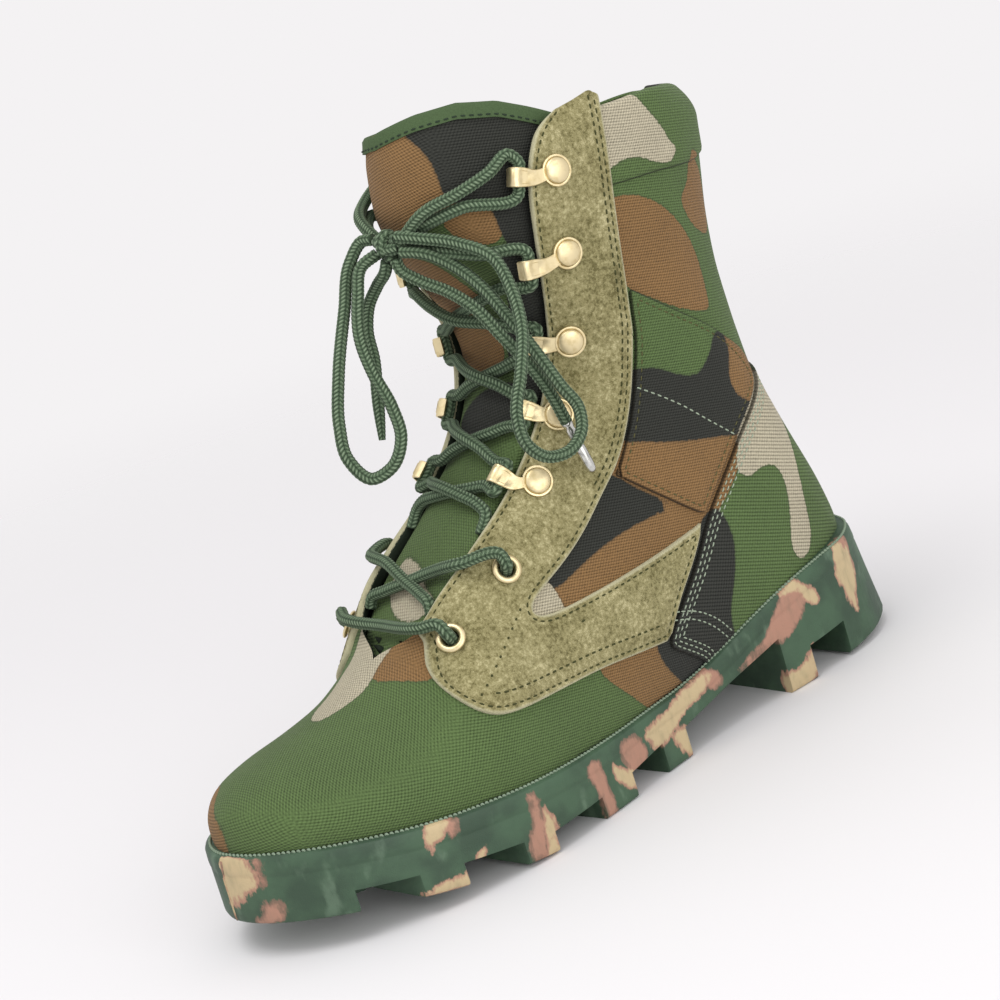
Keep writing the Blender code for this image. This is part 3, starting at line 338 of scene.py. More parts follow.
class Value:
    """Output of a shader node that takes part in arithmetic."""

    def __init__(self, shade: Shade, socket: bpy.types.NodeSocket) -> None:
        """Keeps the socket and the shade that it belongs to."""
        self.shade = shade
        self.socket = socket

    def maths(self, operation: str, *terms: Value | float) -> Value:
        """Math node of this operation on the given terms."""
        return self.shade.node("ShaderNodeMath", {"operation": operation}, dict(enumerate(terms)))

    def __add__(self, other: Value | float) -> Value:
        """Sum."""
        return self.maths("ADD", self, other)

    def __radd__(self, other: float) -> Value:
        """Sum with a number in front."""
        return self.maths("ADD", other, self)

    def __sub__(self, other: Value | float) -> Value:
        """Difference."""
        return self.maths("SUBTRACT", self, other)

    def __rsub__(self, other: float) -> Value:
        """Difference from a number."""
        return self.maths("SUBTRACT", other, self)

    def __mul__(self, other: Value | float) -> Value:
        """Product."""
        return self.maths("MULTIPLY", self, other)

    def __rmul__(self, other: float) -> Value:
        """Product with a number in front."""
        return self.maths("MULTIPLY", other, self)

    def __truediv__(self, other: Value | float) -> Value:
        """Quotient."""
        return self.maths("DIVIDE", self, other)

    def __abs__(self) -> Value:
        """Size without sign."""
        return self.maths("ABSOLUTE", self)

    def sine(self) -> Value:
        """Sine of an angle in radians."""
        return self.maths("SINE", self)

    def step(self, low: float, high: float) -> Value:
        """Smooth step from 0 at low to 1 at high."""
        return self.shade.node("ShaderNodeMapRange", {"interpolation_type": "SMOOTHSTEP"},
                               {"Value": self, "From Min": low, "From Max": high})


class Shade:
    """Material under construction."""

    def __init__(self, name: str) -> None:
        """Starts a material with one Principled shader."""
        self.material = bpy.data.materials.new(name)
        self.material.use_nodes = True
        self.tree = self.material.node_tree
        self.shader = self.tree.nodes["Principled BSDF"]

    def node(self, kind: str, settings: dict | None = None, inputs: dict | None = None,
             output: int | str = 0) -> Value:
        """Adds a node.

        Args:
            kind: Blender's name of the node type.
            settings: Values set on the node before its inputs.
            inputs: Value, number or colour for each input, by name or place.
            output: Name or place of the output that is wanted.

        Returns:
            The output, ready for arithmetic.
        """
        made = self.tree.nodes.new(kind)
        for key, value in (settings or {}).items():
            setattr(made, key, value)
        for key, value in (inputs or {}).items():
            self.feed(made.inputs[key], value)
        return Value(self, made.outputs[output])

    def feed(self, socket: bpy.types.NodeSocket, value: Value | float | Sequence[float]) -> None:
        """Links a value to a socket, or sets a plain number or colour on it."""
        if isinstance(value, Value):
            self.tree.links.new(value.socket, socket)
        else:
            socket.default_value = value

    def attribute(self, name: str) -> Value:
        """Number stored at the vertices under this name."""
        return self.node("ShaderNodeAttribute", {"attribute_name": name}, output="Fac")

    def grain(self, size: float, detail: float = 2.0, stretch: Sequence[float] = (1.0, 1.0, 1.0),
              harsh: float = 0.5) -> Value:
        """Noise with lumps of about this size.

        Args:
            size: Size of a lump in millimetres.
            detail: Number of finer layers.
            stretch: How much longer the lumps are along x, y and z.
            harsh: Share of the finer layers.

        Returns:
            Noise from 0 to 1.
        """
        spot = self.node("ShaderNodeTexCoord", output="Object")
        scale = tuple(1.0 / (size * MM * part) for part in stretch)
        spot = self.node("ShaderNodeVectorMath", {"operation": "MULTIPLY"}, {0: spot, 1: scale})
        inputs = {"Vector": spot, "Scale": 1.0, "Detail": detail, "Roughness": harsh}
        return self.node("ShaderNodeTexNoise", None, inputs)

    def mix(self, factor: Value | float, first: Value | Sequence[float], second: Value | Sequence[float],
            blend: str = "MIX") -> Value:
        """Mixes two colours.

        Args:
            factor: Share of the second colour.
            first: Colour below.
            second: Colour above.
            blend: Blender's name of the way of mixing.

        Returns:
            The mixed colour.
        """
        settings = {"data_type": "RGBA", "blend_type": blend, "clamp_factor": True}
        return self.node("ShaderNodeMix", settings, {0: factor, 6: first, 7: second}, 2)

    def dress(self, colour: Value | Sequence[float], roughness: Value | float, relief: Value | None = None,
              depth: float = 0.0, **constants: float) -> Material:
        """Sets the Principled shader.

        Args:
            colour: Base colour.
            roughness: Roughness.
            relief: Height from 0 to 1 that bends the normal.
            depth: Height of the relief in millimetres.
            constants: Other inputs, with underscores for spaces, that are the same all over.

        Returns:
            The finished material.
        """
        self.feed(self.shader.inputs["Base Color"], colour)
        self.feed(self.shader.inputs["Roughness"], roughness)
        for key, value in constants.items():
            self.shader.inputs[key.replace("_", " ")].default_value = value
        if relief is not None:
            inputs = {"Height": relief, "Distance": depth * MM, "Strength": 1.0}
            bend = self.node("ShaderNodeBump", None, inputs)
            self.feed(self.shader.inputs["Normal"], bend)
        return self.material


@dataclass(frozen=True)
class PrintedCanvas:
    """Woven canvas with the four-colour print. Vertex values tell how it faces: sideways, up or forward; rim
    darkens it with painted shade by cut edges.
    """

    name: str = "printed_canvas"
    grain: Grain = Grain.TWILL
    green: Colour = (78, 100, 54)
    brown: Colour = (127, 95, 56)
    black: Colour = (33, 35, 32)
    tan: Colour = (174, 166, 143)
    # Colour of the painted highlight on the tops of the threads
    sheen: Colour = (150, 150, 138)
    # Colour of the painted shade by cut edges and at the foot of the cuff's roll
    seam: Colour = (22, 20, 14)
    pitch: float = 1.0

    def threads(self, across: Value, up: Value) -> Value:
        """Relief of the weave in a plane with these two angles.

        Args:
            across: Angle that turns by pi in one thread across.
            up: Angle that turns by pi in one thread up.

        Returns:
            Height of the threads from 0 to 1.
        """
        if self.grain is Grain.RIBBED:
            ridge = abs((0.93 * up - 0.37 * across).sine())
            return 0.72 * ridge + 0.28 * abs((0.9 * across + 0.4 * up).sine())
        ridge = abs((0.975 * up - 0.22 * across).sine())
        return 0.58 * ridge + 0.42 * abs((0.80 * across + 0.60 * up).sine())

    def make(self) -> Material:
        """Builds the material."""
        shade = Shade(self.name)
        ragged = (shade.grain(1.4, 2.0) - 0.5) * 1.2
        colour: Value | Sequence[float] = srgb(*self.green)
        for layer, paint in ((Print.BROWN, self.brown), (Print.BLACK, self.black), (Print.TAN, self.tan)):
            depth = shade.attribute(layer.value) + ragged
            bleed = 0.35 * (1.0 - abs(depth).step(0.1, 0.9))
            colour = shade.mix(bleed, colour, srgb(*self.black))
            colour = shade.mix(depth.step(-0.25, 0.25), colour, srgb(*paint))
        spot = shade.node("ShaderNodeTexCoord", output="Object")
        drift = (shade.grain(18.0, 1.0) - 0.5) * (1.0 if self.grain is Grain.RIBBED else 3.0)
        turn = math.pi / (self.pitch * MM)
        x, y, z = (shade.node("ShaderNodeSeparateXYZ", None, {0: spot}, k) * turn + drift for k in range(3))
        weave = shade.attribute("faces_side") * self.threads(x, z)
        weave = weave + shade.attribute("faces_up") * self.threads(0.61 * y + 0.79 * x, 0.79 * x - 0.61 * y)
        weave = weave + shade.attribute("faces_front") * self.threads(y, z)
        slub = shade.grain(0.7, 2.0) - 0.5
        cloudy = shade.grain(22.0, 3.0) - 0.5
        light = 0.40 + 0.86 * weave + 0.70 * slub + 0.26 * cloudy
        colour = shade.mix(1.0, colour, light, "MULTIPLY")
        # Painted highlight on the tops of the threads
        colour = shade.mix(0.08 * weave, colour, srgb(*self.sheen))
        # Painted shade: within about a millimetre of a cut edge, or of the seam under the cuff's roll, the
        # canvas turns dark
        colour = shade.mix(0.75 * shade.attribute("rim").step(0.9, 0.2), colour, srgb(*self.seam))
        return shade.dress(colour, 0.88, weave + 0.6 * slub, 0.35, Specular_IOR_Level=0.15, Sheen_Weight=0.06)


@dataclass(frozen=True)
class BrushedSuede:
    """Napped leather, mottled, with a paler cut edge. The value rim is the distance to the cut edge."""

    name: str = "brushed_suede"
    mid: Colour = (144, 137, 96)
    dark: Colour = (98, 92, 56)
    light: Colour = (190, 182, 140)
    edge: Colour = (188, 184, 152)

    def make(self) -> Material:
        """Builds the material."""
        shade = Shade(self.name)
        nap = shade.grain(1.7, 6.0, harsh=0.8)
        cloud = shade.grain(12.0, 3.0)
        tone = nap + 0.30 * (cloud - 0.5)
        colour = shade.mix(tone.step(0.34, 0.52), srgb(*self.dark), srgb(*self.mid))
        colour = shade.mix(tone.step(0.50, 0.70), colour, srgb(*self.light))
        rim = shade.attribute("rim") + (shade.grain(0.8, 1.0) - 0.5) * 0.7
        colour = shade.mix(0.8 * rim.step(1.3, 0.3), colour, srgb(*self.edge))
        relief = nap + 0.8 * shade.grain(0.45, 2.0) + 0.6 * cloud
        return shade.dress(colour, 0.95, relief, 0.40, Specular_IOR_Level=0.08, Sheen_Weight=0.15)


@dataclass(frozen=True)
class MarbledRubber:
    """Green moulded rubber with tan and pink smears given by vertex values."""

    name: str = "marbled_rubber"
    green: Colour = (64, 90, 67)
    deep: Colour = (48, 70, 52)
    tan: Colour = (188, 168, 130)
    pink: Colour = (166, 124, 104)
    rust: Colour = (126, 98, 82)
    pale: Colour = (116, 140, 116)

    def make(self) -> Material:
        """Builds the material."""
        shade = Shade(self.name)
        torn = (shade.grain(9.0, 2.0, (1.2, 1.2, 0.9)) - 0.5) * 3.0
        torn = torn + (shade.grain(2.6, 5.0, (0.8, 0.8, 1.5), 0.65) - 0.5) * 4.5
        cloud = shade.grain(14.0, 4.0)
        colour = shade.mix(cloud.step(0.35, 0.68), srgb(*self.deep), srgb(*self.green))
        bloom = 0.35 * shade.grain(9.0, 5.0, (1.0, 1.0, 2.0)).step(0.58, 0.72)
        colour = shade.mix(bloom, colour, srgb(*self.pale))
        streak = shade.grain(3.4, 5.0, (1.0, 1.0, 2.6), 0.6)
        for layer, body, border in ((Smear.PINK, self.pink, self.rust), (Smear.TAN, self.tan, self.pink)):
            depth = shade.attribute(layer.value) + torn
            fill = shade.mix((depth + 3.0 * (streak - 0.5)).step(0.3, 1.9), srgb(*border), srgb(*body))
            colour = shade.mix(depth.step(-0.35, 0.55) * (0.35 + 1.1 * streak).step(0.0, 1.0), colour, fill)
        scuff = shade.grain(1.2, 3.0, (3.0, 3.0, 1.0))
        rough = 0.44 + 0.22 * cloud + 0.10 * scuff
        return shade.dress(colour, rough, scuff + 0.8 * shade.grain(0.5, 1.0), 0.10, Specular_IOR_Level=0.45)


@dataclass(frozen=True)
class PlatedMetal:
    """Plated sheet metal with a soft brushed lustre."""

    name: str
    colour: Colour
    worn: Colour
    roughness: float

    def make(self) -> Material:
        """Builds the material."""
        shade = Shade(self.name)
        wear = shade.grain(3.0, 3.0)
        colour = shade.mix(wear.step(0.42, 0.72), srgb(*self.colour), srgb(*self.worn))
        rough = self.roughness + 0.18 * (wear - 0.5)
        return shade.dress(colour, rough, shade.grain(0.5, 2.0), 0.03, Metallic=1.0)


@dataclass(frozen=True)
class BraidedCord:
    """Braided polyester cord. The vertex value braid is 1 on top of a strand and 0 between strands."""

    name: str = "braided_cord"
    dark: Colour = (40, 51, 38)
    mid: Colour = (78, 96, 73)
    light: Colour = (136, 152, 126)

    def make(self) -> Material:
        """Builds the material."""
        shade = Shade(self.name)
        braid = shade.attribute("braid")
        fibre = shade.grain(0.35, 2.0)
        colour = shade.mix(braid.step(0.05, 0.55), srgb(*self.dark), srgb(*self.mid))
        colour = shade.mix(0.8 * (braid + 0.5 * (fibre - 0.5)).step(0.62, 1.0), colour, srgb(*self.light))
        return shade.dress(colour, 0.85, fibre, 0.10, Specular_IOR_Level=0.15, Sheen_Weight=0.05)


@dataclass(frozen=True)
class PlainCloth:
    """Plain lining, tape, foam or thread with a fine grain."""

    name: str
    colour: Colour
    grain: float = 0.8
    contrast: float = 0.5

    def make(self) -> Material:
        """Builds the material."""
        shade = Shade(self.name)
        knit = shade.grain(self.grain, 2.0)
        light = (1.0 - 0.5 * self.contrast) + self.contrast * knit
        colour = shade.mix(1.0, srgb(*self.colour), light, "MULTIPLY")
        return shade.dress(colour, 0.88, knit, 0.15, Specular_IOR_Level=0.2)


class SmoothTable:
    """Smooth functions of a table's first column, one for each other column."""

    def __init__(self, rows: Rows) -> None:
        """Keeps the rows and their slopes."""
        self.rows = np.asarray(rows, float)
        self.slopes = np.gradient(self.rows[:, 1:], self.rows[:, 0], axis=0)

    def __call__(self, at: Array | float) -> Array:
        """Values at these places, with one more axis for the columns."""
        at = np.asarray(at, float)
        knots = self.rows[:, 0]
        index = np.clip(np.searchsorted(knots, at) - 1, 0, len(knots) - 2)
        width = knots[index + 1] - knots[index]
        share = np.clip((at - knots[index]) / width, 0.0, 1.0)[..., None]
        return hermite(self.rows[:, 1:], self.slopes, index, share, width[..., None])


def hermite(rows: Array, slopes: Array, index: Array, share: Array, width: Array | float = 1.0) -> Array:
    """Points of a smooth table.

    Args:
        rows: Values of the table.
        slopes: Slopes of the values.
        index: Row before each point.
        share: Share of the way to the next row.
        width: Distance between the two rows.

    Returns:
        The values at the points.
    """
    start = (1 + 2 * share) * (1 - share) ** 2 * rows[index]
    start = start + share * (1 - share) ** 2 * slopes[index] * width
    end = share**2 * (3 - 2 * share) * rows[index + 1]
    end = end + share**2 * (share - 1) * slopes[index + 1] * width
    return start + end


def unit(vectors: Array) -> Array:
    """Vectors scaled to length 1."""
    return vectors / np.maximum(np.linalg.norm(vectors, axis=-1, keepdims=True), 1e-12)


def runs(line: Array) -> Array:
    """Distance run along a line at each of its points."""
    return np.concatenate(([0.0], np.cumsum(np.linalg.norm(np.diff(line, axis=0), axis=1))))


def eased(value: Array) -> Array:
    """Smooth step from 0 at 0 to 1 at 1."""
    value = np.clip(value, 0.0, 1.0)
    return value**2 * (3.0 - 2.0 * value)


def tube_faces(rings: int, count: int, first: int = 0) -> Faces:
    """Faces of a tube through rings of count points each, closed at both ends."""
    last = first + (rings - 1) * count
    faces: Faces = [tuple(range(first, first + count)), tuple(range(last, last + count))]
    for a in range(first, last, count):
        ahead = [(i + 1) % count for i in range(count)]
        faces += [(a + i, a + k, a + k + count, a + i + count) for i, k in enumerate(ahead)]
    return faces


def rounded(outline: Rows, passes: int = 3) -> Array:
    """Closed outline with its corners cut off again and again until it is smooth."""
    ring = np.asarray(outline, float)
    for _ in range(passes):
        ahead = np.roll(ring, -1, axis=0)
        cut = np.stack((0.75 * ring + 0.25 * ahead, 0.25 * ring + 0.75 * ahead), axis=1)
        ring = cut.reshape(-1, ring.shape[1])
    return ring


def inside_by(points: Array, ring: Array, chunk: int = 20000) -> Array:
    """Distance of points in a plane from a closed outline, positive inside.

    Args:
        points: Points, two numbers each.
        ring: Corners of the outline.
        chunk: Number of points that are worked out at once.

    Returns:
        One distance for each point.
    """
    ahead = np.roll(ring, -1, axis=0)
    run = ahead - ring
    square = np.maximum((run**2).sum(1), 1e-12)
    found = []
    for first in range(0, len(points), chunk):
        at = points[first : first + chunk, None, :]
        share = np.clip(((at - ring) * run).sum(2) / square, 0.0, 1.0)
        far = np.linalg.norm(at - ring - share[..., None] * run, axis=2).min(1)
        crosses = (ring[:, 1] > at[..., 1]) != (ahead[:, 1] > at[..., 1])
        rise = np.where(run[:, 1] == 0, 1e-12, run[:, 1])
        left = at[..., 0] < ring[:, 0] + (at[..., 1] - ring[:, 1]) * run[:, 0] / rise
        found.append(np.where((crosses & left).sum(1) % 2 == 1, far, -far))
    return np.concatenate(found)


def print_layers(points: Array, blotches: Sequence[tuple[Enum, Rows]], scale: Sequence[float] = (1.0, 1.0),
                 passes: int = 3) -> dict[str, Array]:
    """Depth of points inside the blotches of each colour.

    Args:
        points: Points, two numbers each.
        blotches: Colours and outlines.
        scale: Millimetres of one unit along the two axes.
        passes: How often the outlines' corners are cut off.

    Returns:
        For each colour's name, the largest depth at each point in millimetres, negative outside.
    """
    size = np.asarray(scale, float)
    layers: dict[str, Array] = {}
    for colour, outline in blotches:
        depth = inside_by(points * size, rounded(np.asarray(outline, float) * size, passes))
        known = layers.get(colour.value)
        layers[colour.value] = depth if known is None else np.maximum(known, depth)
    return layers


class BootForm:
    """The boot's own shape: plan of the sole, top edge of the sole and outside of the upper."""

    def __init__(self) -> None:
        """Works out the tables that every piece reads."""
        self.feather_table = SmoothTable(FEATHER)
        self.underside_table = SmoothTable(UNDERSIDE)
        self.nose = SmoothTable(TONGUE_NOSE)
        outer, inner = self.plan_ring(0.0, 12)
        self.y_middle = 0.5 * (outer[:, 1].max() + inner[:, 1].min())
        outer, inner = self.plan_ring(FEATHER_INSET, 12)
        self.seat_x = 0.5 * (outer[:, 0] + inner[:, 0])
        self.seat_half = 0.5 * (outer[:, 1] - inner[:, 1])
        self.seat_middle = 0.5 * (outer[:, 1] + inner[:, 1])
        foot = [(x, float(self.feather(x)) - SEAT_DEPTH, *rest) for x, *rest in FOOT]
        self.sections = np.array(foot + [(*row, 0.0) for row in SHAFT])
        self.section_slopes = np.gradient(self.sections, axis=0)
        self.fan_u = np.linspace(0.0, TOP_ROW, TOP_ROW * FAN_STEPS + 1)
        fan = self.section(self.fan_u)
        self.fan_back = np.stack(fan[:2], axis=1)
        self.fan_top = np.stack(fan[2:4], axis=1)

    def feather(self, x: Array | float) -> Array:
        """Height of the sole's top edge."""
        return self.feather_table(x)[..., 0]

    def underside(self, x: Array | float) -> Array:
        """Height of the sole's underside."""
        return np.maximum(self.underside_table(x)[..., 0], 0.0)

    def place(self, points: Array) -> Array:
        """Points in the shared frame, in metres."""
        return (np.asarray(points, float) - (LENGTH / 2, self.y_middle, 0.0)) * MM

    def plan_ring(self, inset: float, steps: int) -> tuple[Array, Array]:
        """Outer and inner edge of the sole's plan, heel to toe.

        Args:
            inset: Distance that the edges move inwards.
            steps: Points in each stretch of the table.

        Returns:
            Points of the outer edge and of the inner edge.
        """
        rows = np.asarray(OUTLINE, float)
        slopes = np.gradient(rows, axis=0)
        slopes[0, :-1] = 0.0
        slopes[-1, :-1] = 0.0
        at = np.arange((len(rows) - 1) * steps + 1) / steps
        index = np.minimum(at.astype(int), len(rows) - 2)
        rows = hermite(rows, slopes, index, (at - index)[:, None])
        outer = np.column_stack((rows[:, 0], rows[:, 1] + rows[:, 2]))
        inner = np.column_stack((rows[:, 0], rows[:, 1] - rows[:, 2]))
        loop = np.vstack((outer, inner[-2:0:-1]))
        ahead = np.roll(loop, -1, 0) - np.roll(loop, 1, 0)
        moved = loop + unit(np.column_stack((ahead[:, 1], -ahead[:, 0]))) * inset
        count = len(outer)
        return moved[:count], np.vstack((moved[:1], moved[-1 : count - 1 : -1], moved[count - 1 : count]))

    def section(self, u: Array) -> tuple[Array, ...]:
        """Sizes of the sections numbered u, with the sole's half width and middle at their feet."""
        u = np.asarray(u, float)
        index = np.minimum(u.astype(int), TOP_ROW - 1)
        sizes = hermite(self.sections, self.section_slopes, index, (u - index)[..., None])
        bx, bz, tx, tz, gap, half, widest, full, mid = np.moveaxis(sizes, -1, 0)
        gap = np.where(u > THROAT_ROW, np.maximum(gap, 0.0), 0.0)
        foot = u < HEEL_ROW
        bz = np.where(foot, self.feather(bx) - SEAT_DEPTH, bz)
        seat = np.where(foot, np.interp(bx, self.seat_x, self.seat_half, left=0.0, right=0.0), 0.0)
        middle = np.where(foot, np.interp(bx, self.seat_x, self.seat_middle), 0.0)
        return bx, bz, tx, tz, gap, np.maximum(half, seat + 0.02), widest, full, mid, seat, middle

    @staticmethod
    def arc(sizes: tuple[Array, ...]) -> tuple[Array, ...]:
        """Start angle, end angle, straight reach, whole height and lower height of sections."""
        bx, bz, tx, tz, gap, half, widest, full, _, seat, _ = sizes
        start = np.arcsin(np.minimum(1.0, seat / half))
        end = math.pi - np.arcsin(np.minimum(1.0, gap / half) ** (full / 2))
        reach = np.hypot(tx - bx, tz - bz)
        whole = reach / (widest + (1 - widest) * (-np.cos(end)) ** (2 / full))
        return start, end, reach, whole, widest * whole

    def surface(self, u: Array | float, s: Array | float, side: Array | float) -> Array:
        """Points of the upper's outside.

        Args:
            u: Section numbers, from the toe to the collar.
            s: Shares of the way from the foot or back seam to the ridge or throat edge.
            side: 1 on the outer side, -1 on the inner side.

        Returns:
            Points with x, y, z in the last axis.
        """
        u, s, side = np.broadcast_arrays(np.asarray(u, float), np.asarray(s, float), np.asarray(side, float))
        sizes = self.section(u)
        bx, bz, tx, tz, gap, half, _, full, mid, seat, middle = sizes
        start, end, reach, whole, low = self.arc(sizes)
        turn = start + s * (end - start)
        cosine = np.cos(turn)
        sine = np.maximum(np.sin(turn), 0.0)
        below = turn <= math.pi / 2
        over = np.maximum(-cosine, 0.0)
        under = low - low / np.maximum(np.cos(start), 1e-6) * cosine
        along = np.where(below, under, low + (whole - low) * over ** (2 / full))
        wide = np.where(below, half * sine, half * sine ** (2 / full))
        wide = np.where(half < 0.05, 0.0, wide)
        wide = np.where(s >= 1.0, gap, np.where(s <= 0.0, seat, wide))
        share = along / reach
        centre = middle + (mid - middle) * np.clip(share, 0.0, 1.0)
        x, y, z = bx + share * (tx - bx), centre + side * wide, bz + share * (tz - bz)
        forward, narrow = self.heel_draw(x, z)
        return np.stack((x + forward, y * (1.0 - narrow), z), axis=-1)

    @staticmethod
    def heel_draw(x: Array, z: Array) -> tuple[Array, Array]:
        """How far the heel and the back of the collar are drawn in.

        Args:
            x: Places along the boot.
            z: Heights.

        Returns:
            Distances forward, and shares of the width that are lost.
        """
        zones = ((x, HEEL_BEHIND), (z, HEEL_LOW), (z, HEEL_HIGH))
        behind, low, high = (eased((at - start) / length) for at, (start, length) in zones)
        return behind * (HEEL_FORWARD * low + COLLAR_FORWARD * high), HEEL_NARROW * behind * low

    @staticmethod
    def top_rise(points: Array, u: Array, tucked: bool = False) -> Array:
        """Extra height of the top edge.

        Args:
            points: Points of the upper.
            u: Their section numbers.
            tucked: Whether the edge also stays down inside the cuff.

        Returns:
            Heights to add, up at the outer facing and down on the inner side.
        """
        near_top = np.clip((u - TOP_EDGE_ROW) / (TOP_ROW - TOP_EDGE_ROW), 0.0, 1.0) ** 2
        x, *heights = np.transpose(TOP_EDGE)
        outer, inner = (np.interp(points[:, 0], x, row) for row in (heights[2:] if tucked else heights[:2]))
        return np.where(points[:, 1] > 0, outer, inner) * near_top

    def outward(self, u: Array | float, s: Array | float, side: Array | float) -> Array:
        """Unit normals of the upper's outside at the same places as surface takes.

        The shares slide at the heel's section, so no difference is taken across it.
        """
        step = 1e-3
        u, s, side = np.broadcast_arrays(np.asarray(u, float), np.asarray(s, float), np.asarray(side, float))
        foot = u < HEEL_ROW
        below_heel = HEEL_ROW - 1e-6
        ahead = np.minimum(u + step, np.where(foot, below_heel, TOP_ROW))
        behind = np.maximum(u - step, np.where(foot, 0.0, HEEL_ROW))
        along = self.surface(ahead, s, side) - self.surface(behind, s, side)
        high, low = np.minimum(s + step, 1.0), np.maximum(s - step, 0.0)
        up = self.surface(u, high, side) - self.surface(u, low, side)
        return unit(np.cross(along, up) * side[..., None])

    def locate(self, spots: Array) -> tuple[Array, Array]:
        """Section numbers and shares of points seen from the side.

        Args:
            spots: Points, x and z.

        Returns:
            Section numbers and shares; a share is below 0 or above 1 off the upper.
        """
        spots = np.array(spots, float)
        first_guess = spots[:, 0] - self.heel_draw(*spots.T)[0]
        spots[:, 0] -= self.heel_draw(first_guess, spots[:, 1])[0]
        run = self.fan_top - self.fan_back
        away = spots[:, None, :] - self.fan_back
        turned = run[:, 0] * away[..., 1] - run[:, 1] * away[..., 0]
        share = (away * run).sum(2) / (run**2).sum(1)
        change = (turned[:, :-1] * turned[:, 1:] <= 0) & (share[:, :-1] > -0.3) & (share[:, :-1] < 1.3)
        index = change.argmax(1)
        row = np.arange(len(spots))
        before, after = turned[row, index], turned[row, index + 1]
        part = before / np.where(before == after, 1e-12, before - after)
        u = self.fan_u[index] + part * (self.fan_u[1] - self.fan_u[0])
        sizes = self.section(np.clip(u, 0.0, TOP_ROW))
        start, end, reach, whole, low = self.arc(sizes)
        back = np.stack(sizes[:2], axis=1)
        top = np.stack(sizes[2:4], axis=1)
        at = ((spots - back) * (top - back)).sum(1) / reach
        cosine = np.where(at <= low, (low - at) * np.cos(start) / low, 0.0)
        upper = np.clip((at - low) / np.maximum(whole - low, 1e-9), 0.0, 1.0) ** (sizes[7] / 2)
        turn = np.where(at <= low, np.arccos(np.clip(cosine, -1, 1)), math.pi - np.arccos(upper))
        s = (turn - start) / (end - start)
        s = np.where(at > reach, 1.0 + (at - reach) / 50.0, s)
        s = np.where(change.any(1) & (at >= 0), s, -1.0)
        return u, s


FORM = BootForm()


def soft_wave(points: Array, size: float, height: float) -> Array:
    """Gentle swell of cloth at points: noise with waves of this size and height in millimetres."""
    return np.array([noise.noise(Vector(p) / size) for p in points]) * height


def dressed(u: Array, s: Array, side: Array | float, tucked: bool = False) -> tuple[Array, Array]:
    """Outside of the upper with the swell of its cloth and the rise of its top edge.

    Args:
        u: Section numbers.
        s: Shares of the way up.
        side: 1 on the outer side, -1 on the inner side.
        tucked: Whether the top edge stays down inside the cuff.

    Returns:
        Points and unit normals.
    """
    base, out = FORM.surface(u, s, side), FORM.outward(u, s, side)
    base = base + out * soft_wave(base, CLOTH_WAVE, CLOTH_SWELL)[:, None]
    base[:, 2] += FORM.top_rise(base, u, tucked)
    return base, out


def add_piece(name: str, points: Array, faces: Sequence[Sequence[int]], finishes: Sequence[Material],
              values: dict[str, Array] | None = None, sharp: float | None = None,
              which: Sequence[int] | None = None) -> bpy.types.Object:
    """Closed mesh piece that rides on the boot.

    Args:
        name: Name of the piece.
        points: Points in millimetres.
        faces: Corners of the faces.
        finishes: Materials.
        values: Numbers stored at the points for the shaders.
        sharp: Angle in degrees from which an edge stays sharp.
        which: Material of each face where there are several.

    Returns:
        The object.
    """
    mesh = bpy.data.meshes.new(name)
    mesh.from_pydata(FORM.place(points).tolist(), [], [tuple(map(int, f)) for f in faces])
    for finish in finishes:
        mesh.materials.append(finish)
    if which is not None:
        mesh.polygons.foreach_set("material_index", np.asarray(which, np.int32))
    for key, numbers in (values or {}).items():
        layer = mesh.attributes.new(key, "FLOAT", "POINT")
        layer.data.foreach_set("value", np.asarray(numbers, np.float32))
    shell = bmesh.new()
    shell.from_mesh(mesh)
    bmesh.ops.recalc_face_normals(shell, faces=shell.faces)
    shell.to_mesh(mesh)
    shell.free()
    mesh.shade_smooth()
    if sharp is not None:
        mesh.set_sharp_from_angle(angle=math.radians(sharp))
    mesh.update()
    made = bpy.data.objects.new(name, mesh)
    bpy.context.scene.collection.objects.link(made)
    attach(made, BODY)
    log.info("%s: %d faces", name, len(mesh.polygons))
    return made


